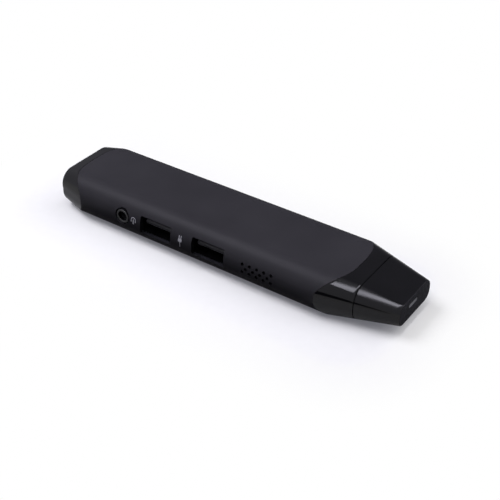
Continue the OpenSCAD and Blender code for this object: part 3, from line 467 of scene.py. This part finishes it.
slotMaterials = {
    "soft_touch_black": softTouch, "gloss_black": glossAbs, "moulded_black": blackNylon,
    "nickel_steel": nickelSteel, "gold_contact": flashGold, "grey_ring": greyAbs,
    "white_plastic": whiteResin, "clear_acrylic": clearAcrylic, "board_green": makeSolderMask(),
    "chip_black": chipEpoxy, "copper": rolledCopper, "thermal_grey": siliconePad,
    "cable_black": vinylJacket, "bronze": sinteredBronze, "ferrite": sinteredFerrite,
}
ownLook = {     # solids that look unlike the rest of their slot
    "usb_rear_shell": nickelPaintedShade, "usb_front_shell": nickelPaintedShade,
    "usb_rear_tongue": tonguePaintedLight, "usb_front_tongue": tonguePaintedLight,
}
for name, node in nodes.items():
    node.data.materials.clear()
    node.data.materials.append(ownLook.get(name) or slotMaterials[slotOf[name]])
print("materials on", len(nodes), "solids")

# Sleeve with its openings
ports = {
    "usbShellH": 5.72, "usbGap": 0.35,      # height of a USB shell, gap above and below it
    "usbSideGap": 0.15, "usbCorner": 0.3,
    "jackR": 3.1, "jackSteps": 64,
    "microMargin": 0.3, "microCorner": 0.8,
    "buttonW": 6.4, "buttonH": 3.0,
    "pipeR": 0.7, "holeSteps": 24,
    "facing": 0.9,                          # how squarely a wall faces up or towards the nose to get the painted light
    "ease": 0.1, "easeSteps": 2,            # rounding of the opening edges
    "mouthAngle": 0.9,                      # those edges turn by more than this, in radians,
    "mouthDepth": 0.6, "mouthRise": 4.5,    # and lie this near to the side and to mid height
}
vents = {"radius": 0.57, "pitch": 2.85, "row": 1.44, "z": 8.25, "counts": (5, 4, 5)}    # top row first
oblong = {"cornerSteps": 4, "endSteps": 12}     # facets of a round corner, of a round end
nearCut = (-halfW - meshing["spare"], -halfW / 2)       # reach of the cutters through each side
farCut = (halfW / 2, halfW + meshing["spare"])
sleeveLook = (softTouch, bareAbsAndPaintedShade, paintedLightAbs)


def addOblong(bm, x, z, wide, tall, y0, y1, radius=None):
    # bar along Y with round ends, or with round corners when a radius is given
    made = addBox(bm, (x - wide / 2, y0, z - tall / 2), (x + wide / 2, y1, z + tall / 2))
    steps = oblong["cornerSteps"] if radius else oblong["endSteps"]
    ease(bm, edgesAlong(made, 1), radius or tall / 2 - meshing["sliver"], steps, clamp=False)


def addUsb(bm, node):
    low, high = boxMm(node)
    shellH = ports["usbShellH"]
    addOblong(
        bm, (low.x + high.x) / 2, high.z - shellH / 2, high.x - low.x + 2 * ports["usbSideGap"],
        shellH + 2 * ports["usbGap"], *nearCut, ports["usbCorner"])


def ventPlaces(centreX):
    middleRow = (len(vents["counts"]) - 1) / 2
    for i, count in enumerate(vents["counts"]):
        for k in range(count):
            yield (
                centreX + (k - (count - 1) / 2) * vents["pitch"],
                vents["z"] + (middleRow - i) * vents["row"])


def buildSleeve():
    bm = bmesh.new()
    rims = []
    for section, order in ((outerSection, (tail, nose)), (innerSection, (nose, tail))):
        for end in order:
            loop = roundedLoop(bm, end["endX"], *section)
            putOnSplit(loop, end, 1)
            rims.append(loop)
    bridge(bm, rims + rims[:1])
    ease(bm, rims[0] + rims[1], body["splitEase"])

    cutter = bmesh.new()
    for node in ("usb_rear_shell", "usb_front_shell"):
        addUsb(cutter, node)
    cutter.normal_update()
    # walls of the flat sockets' openings: painted light where they face up or towards the nose, painted
    # shade elsewhere
    for face in cutter.faces:
        paintedLit = min(face.normal.x, face.normal.z) < -ports["facing"]
        face.material_index = sleeveLook.index(paintedLightAbs if paintedLit else bareAbsAndPaintedShade)
    jack = centreOf("jack_ring")
    # the headset socket's hole is painted inside too
    addRod(cutter, jack.x, jack.z, ports["jackR"], *nearCut, ports["jackSteps"])
    coated = set(cutter.faces)
    micro = centreOf("micro_usb_shell")
    low, high = boxMm("micro_usb_shell")
    margin = 2 * ports["microMargin"]
    addOblong(
        cutter, micro.x, micro.z, high.x - low.x + margin, high.z - low.z + margin,
        *farCut, ports["microCorner"])
    key = centreOf("power_button")
    addOblong(cutter, key.x, key.z, ports["buttonW"], ports["buttonH"], *farCut)
    pipe = centreOf("light_pipe")
    addRod(cutter, pipe.x, midZ, ports["pipeR"], *farCut, ports["holeSteps"])
    for x, z in ventPlaces(centreOf("fan_impeller").x):
        for cut in (nearCut, farCut):
            addRod(cutter, x, z, vents["radius"], *cut, ports["holeSteps"])
    # the other openings and the vents are nearly black inside: painted shade
    for face in set(cutter.faces) - coated:
        face.material_index = sleeveLook.index(bareAbsAndPaintedShade)
    bm = cutAway(bm, cutter)

    # ease the edges of the openings on both outer sides
    mouths = [
        e for e in bm.edges if e.is_manifold and e.calc_face_angle() > ports["mouthAngle"]
        and all(abs(v.co.y) > halfW - ports["mouthDepth"] for v in e.verts)
        and all(abs(v.co.z - midZ) < ports["mouthRise"] for v in e.verts)]
    ease(bm, mouths, ports["ease"], ports["easeSteps"])
    return bm


finishPiece(buildSleeve(), "sleeve_shell", sleeveLook, "stick", ("sleeve",))
print("sleeve")

# End pieces: tail and collar have a spigot in the sleeve, tail and cap a rounded end face
spigot = {"fit": 0.1, "wall": 1.2}
endFace = {"round": 0.4, "steps": 5}
taperRounds = 8             # rounds of finding where a taper meets its split line


def shrink(section, by):
    return tuple(size - by for size in section)


def byAngle(loop):
    return sorted(loopVerts(loop), key=lambda v: math.atan2(v.co.z - midZ, v.co.y))


def ontoSleeve(point):
    # nearest place on the sleeve's outer section
    wide, tall, radius = outerSection
    side = abs(point.y) - wide + radius
    rise = abs(point.z - midZ) - tall + radius
    if side > 0 and rise > 0:
        scale = radius / math.hypot(side, rise)
        side, rise = side * scale, rise * scale
    elif rise > side:
        rise = radius
    else:
        side = radius
    return Vector((
        point.x, math.copysign(side + wide - radius, point.y),
        midZ + math.copysign(rise + tall - radius, point.z - midZ)))


def rimOnTaper(bm, end, near):
    # loop on the split line, reached by running straight on along the taper from the near loop
    farX = end["endX"] + inwardX(end) * end["sideLen"]
    far = roundedLoop(bm, farX, *taperSection(end, end["sideLen"]))
    rim = roundedLoop(bm, 0, *outerSection)
    for v, a, b in zip(byAngle(rim), byAngle(near), byAngle(far)):
        point = b.co.copy()
        for again in range(taperRounds):
            point = a.co.lerp(b.co, (splitX(end, point.y) - a.co.x) / (b.co.x - a.co.x))
        v.co = ontoSleeve(point)
    putOnSplit(rim, end, -1)
    bmesh.ops.delete(bm, geom=loopVerts(far), context='VERTS')
    return rim


def spigotLoops(bm, end, farX):
    # from the split line inwards: shoulder, spigot and bore; also gives the bore's section
    outside = shrink(innerSection, spigot["fit"])
    bore = shrink(outside, spigot["wall"])
    shoulder = roundedLoop(bm, farX, *outside)
    putOnSplit(shoulder, end, -1)
    return [shoulder, roundedLoop(bm, farX, *outside), roundedLoop(bm, farX, *bore)], bore


tailPiece = {"wall": 2.0, "spigotLen": 4.0, "cuts": 6}      # cuts along the taper


def buildTail():
    bm = bmesh.new()
    section = taperSection(tail, 0)
    inside = shrink(section, tailPiece["wall"])
    stepX = tailHigh.x - tailPiece["spigotLen"]
    end = roundedLoop(bm, tail["endX"], *section)
    rim = rimOnTaper(bm, tail, end)
    loops, bore = spigotLoops(bm, tail, tailHigh.x)
    step = roundedLoop(bm, stepX, *bore)
    narrow = roundedLoop(bm, stepX, *inside)
    bottom = roundedLoop(bm, tail["endX"] + tailPiece["wall"], *inside)
    bridge(bm, [end, rim, *loops, step, narrow, bottom], tailPiece["cuts"])
    closeLoop(bm, end)
    closeLoop(bm, bottom)
    ease(bm, rim, body["splitEase"])
    ease(bm, end, endFace["round"], endFace["steps"])
    return bm


# Plug, and the room that the collar and the cap leave for it
plug = {
    "w": 13.9, "lowW": 10.6, "h": 4.45, "side": 2.5,        # full and lower width, height, upright side
    "corner": 0.5, "cornerSteps": 4, "sheet": 0.35, "innerCorner": 0.22,
    "tipEase": 0.1, "tipSteps": 2, "gap": 0.3,
    "latchX": 60.2, "latchL": 2.2, "latchW": 1.6,           # the two spring windows
    "earL": 3.0, "earW": 2.5,                               # the feet on the board
}


def plugLoop(bm, x, grow, corner):
    slant = math.atan2(plug["h"] - plug["side"], (plug["w"] - plug["lowW"]) / 2)
    wide = plug["w"] / 2 + grow
    narrow = plug["lowW"] / 2 + grow * math.tan(slant / 2)
    tall = plug["h"] / 2 + grow
    knee = plug["h"] / 2 - plug["side"] - grow * math.tan((math.pi / 2 - slant) / 2)
    outline = (
        (-wide, tall), (-wide, knee), (-narrow, -tall),
        (narrow, -tall), (wide, knee), (wide, tall))
    verts = [bm.verts.new((x, y, midZ + z)) for y, z in outline]
    bm.faces.new(verts)
    return roundCorners(bm, verts, corner, plug["cornerSteps"])


def plugRod(x0, x1, grow, corner):
    bm = bmesh.new()
    loops = [plugLoop(bm, x, grow, corner) for x in (x0, x1)]
    bridge(bm, loops)
    for loop in loops:
        closeLoop(bm, loop)
    return bm


def buildPlug():
    bm = plugRod(plugLow.x, plugHigh.x, 0, plug["corner"])
    tip = [e for e in bm.edges if all(v.co.x > plugHigh.x - plug["sheet"] for v in e.verts)]
    ease(bm, tip, plug["tipEase"], plug["tipSteps"])
    inside = plugRod(
        plugLow.x - meshing["spare"], plugHigh.x + meshing["spare"], -plug["sheet"], plug["innerCorner"])
    bm = cutAway(bm, inside)
    cutter = bmesh.new()
    for side in (-1, 1):
        y = side * plug["w"] / 4        # midway between the middle and the side
        addBox(
            cutter, (plug["latchX"], y - plug["latchW"] / 2, midZ),
            (plug["latchX"] + plug["latchL"], y + plug["latchW"] / 2, midZ + plug["h"]))
    bm = cutAway(bm, cutter)
    boardTop = boxMm("main_board")[1].z
    earX = plugLow.x + plug["gap"]
    for side in (-1, 1):
        ys = sorted((side * (plug["lowW"] + plug["sheet"]) / 2, side * (plug["w"] / 2 + plug["earW"])))
        addBox(bm, (earX, ys[0], boardTop), (earX + plug["earL"], ys[1], boardTop + plug["sheet"]))
    return bm


collar = {
    "seamGap": 0.2, "seamEase": 0.02,       # the seam before the cap
    "tenonW": 21.0, "tenonH": 9.4, "tenonR": 3.5,
    "floorX": 48.3, "cuts": 10,             # inner floor, cuts along the taper
}
seamX = capLow.x - collar["seamGap"]
tenon = (collar["tenonW"] / 2, collar["tenonH"] / 2, collar["tenonR"])


def buildCollar():
    bm = bmesh.new()
    seam = roundedLoop(bm, seamX, *taperSection(nose, nose["endX"] - seamX))
    rim = rimOnTaper(bm, nose, seam)
    loops, bore = spigotLoops(bm, nose, collarLow.x)
    floorLoop = roundedLoop(bm, collar["floorX"], *bore)
    root = roundedLoop(bm, seamX, *tenon)
    tip = roundedLoop(bm, collarHigh.x, *tenon)
    bridge(bm, [seam, rim, *loops, floorLoop], collar["cuts"])
    bridge(bm, [seam, root, tip])
    closeLoop(bm, floorLoop)
    closeLoop(bm, tip)
    ease(bm, rim, body["splitEase"])
    ease(bm, seam, collar["seamEase"])
    ease(bm, tip, collar["seamEase"])
    passage = plugRod(
        collar["floorX"] - meshing["spare"], collarHigh.x + meshing["spare"],
        plug["gap"], plug["corner"])
    return cutAway(bm, passage)


cap = {"gap": 0.28, "fit": 0.15, "cuts": 8}     # gap at the seam, fit round the tenon
capSlot = {"w": 5.5, "h": 1.35, "depth": 0.08, "y": -1.6, "z": 8.8, "steps": 8}    # pale inside: painted highlight
capLook = (glossAbs, erodedAbs, slotPaintedHighlight)        # body, end face, slot


def slotCutter():
    bm = bmesh.new()
    halfY = capSlot["w"] / 2
    halfZ = capSlot["h"] / 2
    made = addBox(
        bm, (nose["endX"] - capSlot["depth"], capSlot["y"] - halfY, capSlot["z"] - halfZ),
        (nose["endX"] + meshing["spare"], capSlot["y"] + halfY, capSlot["z"] + halfZ))
    ease(bm, edgesAlong(made, 0), halfZ - meshing["sliver"], capSlot["steps"], clamp=False)
    for face in bm.faces:
        face.material_index = capLook.index(slotPaintedHighlight)
    return bm


def buildCap():
    bm = bmesh.new()
    startX = seamX + cap["gap"]
    pocket = shrink(tenon, -cap["fit"])
    end = roundedLoop(bm, nose["endX"], *taperSection(nose, 0))
    seam = roundedLoop(bm, startX, *taperSection(nose, nose["endX"] - startX))
    mouth = roundedLoop(bm, startX, *pocket)
    bottom = roundedLoop(bm, collarHigh.x + cap["fit"], *pocket)
    bridge(bm, [end, seam, mouth, bottom], cap["cuts"])
    closeLoop(bm, end, capLook.index(erodedAbs))
    closeLoop(bm, bottom)
    ease(bm, seam, collar["seamEase"])
    ease(bm, end, endFace["round"], endFace["steps"])
    bm = cutAway(bm, plugRod(startX, plugHigh.x + plug["gap"], plug["gap"], plug["corner"]))
    return cutAway(bm, slotCutter())


finishPiece(buildTail(), "tail_shell", (glossAbs,), "stick", ("tail_cap",))
finishPiece(buildCollar(), "collar_shell", (glossAbs,), "stick", ("front_collar",))
finishPiece(buildCap(), "cap_shell", capLook, "cap", ("hdmi_cap",))
finishPiece(buildPlug(), "plug_shell", (nickelSteel,), "stick", ("hdmi_shell",))
print("end pieces and plug")

# Ring of the headset socket, narrower over its front length
ring = {
    "outerR": 2.75, "crestR": 2.62, "boreR": 1.88, "frontLen": 1.0,
    "round": 0.1, "roundSteps": 4, "steps": 64,
}
ringLook = (greyAbs, bareAbsAndPaintedShade)


def buildRing():
    # half a cross-section turned about the socket's axis
    low, high = boxMm("jack_ring")
    centre = (low + high) / 2
    stepY = low.y + ring["frontLen"]
    bm = bmesh.new()
    outline = (
        (ring["boreR"], low.y), (ring["crestR"], low.y), (ring["crestR"], stepY),
        (ring["outerR"], stepY), (ring["outerR"], high.y), (ring["boreR"], high.y))
    verts = [bm.verts.new((r, y, 0)) for r, y in outline]
    bm.faces.new(verts)
    bmesh.ops.bevel(
        bm, geom=verts[:2], offset=ring["round"], segments=ring["roundSteps"], profile=0.5,
        affect='VERTICES', material=-1)
    bmesh.ops.spin(
        bm, geom=bm.verts[:] + bm.edges[:], cent=(0, 0, 0), axis=(0, 1, 0), angle=2 * math.pi,
        steps=ring["steps"], use_merge=True, use_duplicate=False)
    section = [f for f in bm.faces if len(f.verts) > 4]     # the face that was turned is left inside
    bmesh.ops.delete(bm, geom=section, context='FACES_ONLY')
    for face in bm.faces:
        # behind its rounded front the ring is nearly black: painted shade for the dark gap round the
        # ring
        behind = face.calc_center_median().y > low.y + ring["round"]
        face.material_index = ringLook.index(bareAbsAndPaintedShade if behind else greyAbs)
    bmesh.ops.translate(bm, vec=(centre.x, 0, centre.z), verts=bm.verts)
    return bm


button = {
    "w": 6.0, "h": 2.6, "round": 0.35, "roundSteps": 4,
    "flange": 0.6, "flangeT": 0.8, "flangeCorner": 0.6,     # the rim that holds it behind the wall
}


def buildButton():
    low, high = boxMm("power_button")
    centre = (low + high) / 2
    bm = bmesh.new()
    addOblong(bm, centre.x, centre.z, button["w"], button["h"], low.y + button["flangeT"] / 2, high.y)
    rim = [e for e in bm.edges if all(abs(v.co.y - high.y) < meshing["same"] for v in e.verts)]
    ease(bm, rim, button["round"], button["roundSteps"])
    addOblong(
        bm, centre.x, centre.z, button["w"] + 2 * button["flange"], button["h"] + 2 * button["flange"],
        low.y, low.y + button["flangeT"], button["flangeCorner"])
    return bm


finishPiece(buildRing(), "jack_trim", ringLook, "stick", ("jack_ring",))
finishPiece(buildButton(), "button_key", (softTouch,), "button", ("power_button",))
print("ring and button")

# Printed pictograms, a headset by the round socket and a plug between the flat ones
inkShape = {"columns": 2, "rows": 4, "cornerSteps": 3, "arcSteps": 20}      # how finely it is divided
headset = {
    "x": -32.2, "z": 9.2, "bandR": 0.95, "stroke": 0.26,
    "cupW": 0.4, "cupH": 0.8, "cupR": 0.14, "cupDrop": 0.4,
    "leadW": 0.45, "leadH": 1.9, "leadR": 0.1, "leadDrop": 0.6,
}
plugSign = {
    "x": -11.6, "z": 8.97, "bodyW": 1.5, "bodyH": 1.2, "bodyR": 0.3,
    "prongW": 0.28, "prongH": 1.1, "prongR": 0.06, "apart": 0.8, "cordH": 2.0,
    "lap": 0.02,            # prongs and cord reach this far into the body
}


def addPatch(bm, x, z, wide, tall, radius):
    made = bmesh.ops.create_grid(
        bm, x_segments=inkShape["columns"], y_segments=inkShape["rows"], size=0.5)["verts"]
    place = Matrix(((wide, 0, 0, x), (0, 0, 1, 0), (0, tall, 0, z), (0, 0, 0, 1)))
    bmesh.ops.transform(bm, matrix=place, verts=made)
    corners = [v for v in made if len(v.link_edges) == 2]
    bmesh.ops.bevel(
        bm, geom=corners, offset=radius, segments=inkShape["cornerSteps"], profile=0.5,
        affect='VERTICES', material=-1)


def addArc(bm, x, z, radius, stroke, fromAngle, sweep):
    tips = [
        bm.verts.new((x + r * math.cos(fromAngle), 0, z + r * math.sin(fromAngle)))
        for r in (radius - stroke / 2, radius + stroke / 2)]
    line = bm.edges.new(tips)
    bmesh.ops.spin(
        bm, geom=[*tips, line], cent=(x, 0, z), axis=(0, -1, 0), angle=sweep,
        steps=inkShape["arcSteps"], use_merge=False)


def wrapOnSide(bm):
    # lay the flat sign on the near side, just proud of the paint
    for v in bm.verts:
        v.co.y = -sideY(v.co.z) - body["print"] / 2
    bmesh.ops.recalc_face_normals(bm, faces=bm.faces)
    bmesh.ops.solidify(bm, geom=bm.faces[:], thickness=body["print"])
    return bm


def buildHeadset():
    bm = bmesh.new()
    x, z = headset["x"], headset["z"]
    addArc(bm, x, z, headset["bandR"], headset["stroke"], 0, math.pi)
    for side in (-1, 1):
        addPatch(
            bm, x + side * headset["bandR"], z - headset["cupDrop"],
            headset["cupW"], headset["cupH"], headset["cupR"])
    addPatch(bm, x, z - headset["leadDrop"], headset["leadW"], headset["leadH"], headset["leadR"])
    return wrapOnSide(bm)


def buildPlugSign():
    bm = bmesh.new()
    x, z = plugSign["x"], plugSign["z"]
    addPatch(bm, x, z, plugSign["bodyW"], plugSign["bodyH"], plugSign["bodyR"])
    up = (plugSign["bodyH"] + plugSign["prongH"]) / 2 - plugSign["lap"]
    for side in (-1, 1):
        addPatch(
            bm, x + side * plugSign["apart"] / 2, z + up,
            plugSign["prongW"], plugSign["prongH"], plugSign["prongR"])
    down = (plugSign["bodyH"] + plugSign["cordH"]) / 2 - plugSign["lap"]
    addPatch(bm, x, z - down, plugSign["prongW"], plugSign["cordH"], plugSign["prongR"])
    return wrapOnSide(bm)


finishPiece(buildHeadset(), "headset_sign", (paleInk,), "stick")
finishPiece(buildPlugSign(), "plug_sign", (paleInk,), "stick")
print("printed signs")


def towards(start, target):
    # rotation of a camera or lamp that looks from one place at another
    return (Vector(target) - Vector(start)).to_track_quat('-Z', 'Y').to_euler()


# Camera at the photograph's viewing angle, its places in millimetres
view = {"from": (170.185, -235.449, 207.36), "at": (9.975, -6.156, 7.5), "lens": 73.42}
nearClip = 0.01         # metres
camera = addObject("camera", bpy.data.cameras.new("camera"))
camera.data.lens = view["lens"]
camera.data.clip_start = nearClip
camera.location = Vector(view["from"]) * mm
camera.rotation_euler = towards(view["from"], view["at"])
bpy.context.scene.camera = camera
print("camera")

# Studio in metres: pale paper under a painted white glow round the object, soft panels overhead, grey
# walls in reflections
studio = {
    "paper": 4.0, "paperLow": "#f8f8f1", "paperHigh": "#fafaf3", "bounce": "#3a3a3c",
    "fibre": 3,                                 # millimetres
    "footMid": (-0.009, -0.002, 0.0),           # middle and half size of the shaded ground
    "footprint": (0.061, 0.0145, 1.0),
    "fadeFrom": 0.006, "fadeTo": 0.04,          # beyond it, where a painted white glow fades in over the paper
    "glow": 0.15,                               # share of that painted white glow already under the object, lightening its shadow,
    "shade": "#f0f0ff", "shadeTo": 0.4,         # its painted lavender tint in the shadow, and the share at which the tint is gone
    "white": "#ffffff",
    "room": 4.6, "roomDrop": 0.01,
    "wallBack": "#9898a0", "wallFront": "#ececf4",      # lighter behind the camera
    "wallSpan": (2.3, 0.9),                     # where that change begins and ends
    "ambient": 0.03, "lampColour": "#f3f2ff",
    "cards": {
        # opposite corners of black cards that only reflections see
        "farCard": ((-0.13, -0.3, 0.0), (0.07, -0.05, 0.0004)),         # the dark line on the gloss
        "nearCard": ((-0.06, -0.05, 0.0), (0.035, -0.019, 0.0004)),     # the dull side of the sleeve
        "wallCard": ((-1.6, -2.0, 0.0), (-0.35, -1.99, 0.45)),
    },
    "panels": {
        # level is the radiance, turn is in degrees
        "stripPanel": {
            "at": (0.0955, -0.175, 0.7), "faces": (0.0955, -0.175, 0),
            "wide": 0.053, "deep": 0.88, "level": 13.6, "turn": -1.5},
        "longPanel": {
            "at": (-0.42, -0.18, 0.7), "faces": (-0.42, -0.18, 0),
            "wide": 0.46, "deep": 0.46, "level": 9.3, "turn": 0},
        "backPanel": {
            "at": (0.4, 0.45, 0.65), "faces": (0, 0, 0),
            "wide": 0.5, "deep": 0.5, "level": 2.6, "turn": 0},
    },
}


def backgroundRays(tree):
    # rays that are to see the white background: straight, mirrored or through clear plastic
    path = addNode(tree, "LightPath").outputs
    seen = addNode(
        tree, "Math", {0: path["Is Camera Ray"], 1: path["Is Glossy Ray"]},
        operation='MAXIMUM').outputs["Value"]
    return addNode(
        tree, "Math", {0: seen, 1: path["Is Transmission Ray"]}, operation='MAXIMUM').outputs["Value"]


def awayFromFootprint(tree, place):
    # distance on the ground from the box that the object shades
    shifted = addNode(
        tree, "VectorMath", {0: place, 1: studio["footMid"]}, operation='SUBTRACT').outputs["Vector"]
    span = addNode(tree, "VectorMath", {0: shifted}, operation='ABSOLUTE').outputs["Vector"]
    beyond = addNode(
        tree, "VectorMath", {0: span, 1: studio["footprint"]}, operation='SUBTRACT').outputs["Vector"]
    outside = addNode(
        tree, "VectorMath", {0: beyond, 1: (0, 0, 0)}, operation='MAXIMUM').outputs["Vector"]
    return addNode(tree, "VectorMath", {0: outside}, operation='LENGTH').outputs["Value"]


def paperMaterial():
    # Matt background paper: soft fibres, hardly visible, under a painted white glow that fades in round
    # the object and lightens and tints its shadow
    material, tree, place = newMaterial("backgroundPaper")
    seen = backgroundRays(tree)
    fibre = addNode(tree, "TexNoise", {
        "Vector": place, "Scale": perMm(studio["fibre"]), "Detail": noise["fineDetail"]}).outputs["Fac"]
    colour = addNode(tree, "Mix", {
        "Factor": seen, 6: toLinear(studio["bounce"]),
        7: blendColours(tree, fibre, studio["paperLow"], studio["paperHigh"])}, data_type='RGBA')
    sheet = addNode(tree, "BsdfDiffuse", {"Color": colour.outputs[2]})
    fade = addNode(
        tree, "MapRange", {
            "Value": awayFromFootprint(tree, place), "From Min": studio["fadeFrom"],
            "From Max": studio["fadeTo"], "To Min": studio["glow"]},
        interpolation_type='SMOOTHSTEP').outputs["Result"]
    share = addNode(tree, "Math", {0: fade, 1: seen}, operation='MULTIPLY').outputs["Value"]
    # painted shade: the glow is tinted lavender where it is faint, in the object's shadow
    tint = blendColours(
        tree, fade, studio["shade"], studio["white"], (studio["glow"], studio["shadeTo"]))
    # painted light: a white glow over the paper, faint under the object so as to lighten its shadow,
    # full beyond it
    bright = addNode(tree, "Emission", {"Color": tint, "Strength": 1.0})
    whole = addNode(tree, "MixShader", {
        0: share, 1: sheet.outputs["BSDF"], 2: bright.outputs["Emission"]})
    addNode(tree, "OutputMaterial", {"Surface": whole.outputs["Shader"]})
    return material


def wallMaterial():
    # Grey felt of the room, better lit towards the camera
    material, tree, place = newMaterial("greyFelt")
    depth = addNode(tree, "SeparateXYZ", {"Vector": place}).outputs["Y"]
    across = addNode(tree, "MapRange", {
        "Value": depth, "From Min": studio["wallSpan"][0],
        "From Max": studio["wallSpan"][1]}).outputs["Result"]
    glow = addNode(tree, "Emission", {
        "Color": blendColours(tree, across, studio["wallBack"], studio["wallFront"], (0.0, 1.0)),
        "Strength": 1.0})
    addNode(tree, "OutputMaterial", {"Surface": glow.outputs["Emission"]})
    return material


def addStage(name, bm, material):
    obj = meshObject(name, bm)
    obj.data.materials.append(material)
    return obj


def buildStudio():
    bm = bmesh.new()
    bmesh.ops.create_grid(bm, x_segments=1, y_segments=1, size=studio["paper"] / 2)
    addStage("paper", bm, paperMaterial())
    for name, corners in studio["cards"].items():
        bm = bmesh.new()
        addBox(bm, *corners)
        card = addStage(name, bm, bareAbsAndPaintedShade)
        card.visible_camera = False
        card.visible_diffuse = False
        card.visible_shadow = False
    bm = bmesh.new()
    made = bmesh.ops.create_cube(bm, size=studio["room"])["verts"]
    bmesh.ops.translate(bm, vec=(0, 0, studio["room"] / 2 - studio["roomDrop"]), verts=made)
    bmesh.ops.reverse_faces(bm, faces=bm.faces)
    room = addStage("room", bm, wallMaterial())
    room.visible_camera = False
    room.visible_diffuse = False
    room.visible_transmission = False
    for name, panel in studio["panels"].items():
        lamp = addObject(name, bpy.data.lights.new(name, 'AREA'))
        lamp.data.shape = 'RECTANGLE'
        lamp.data.size = panel["wide"]
        lamp.data.size_y = panel["deep"]
        lamp.data.energy = panel["level"] * math.pi * panel["wide"] * panel["deep"]
        lamp.data.color = toLinear(studio["lampColour"])[:3]
        lamp.location = panel["at"]
        lamp.rotation_euler = towards(panel["at"], panel["faces"])
        lamp.rotation_euler.rotate_axis('Z', math.radians(panel["turn"]))

    world = bpy.data.worlds.new("white")
    bpy.context.scene.world = world
    world.use_nodes = True
    tree = world.node_tree
    tree.nodes.clear()
    level = addNode(tree, "MapRange", {
        "Value": backgroundRays(tree), "To Min": studio["ambient"], "To Max": 1.0}).outputs["Result"]
    sky = addNode(tree, "Background", {"Color": toLinear(studio["white"]), "Strength": level})
    addNode(tree, "OutputWorld", {"Surface": sky.outputs["Background"]})
    bpy.context.scene.view_settings.view_transform = 'Standard'


buildStudio()
print("studio")
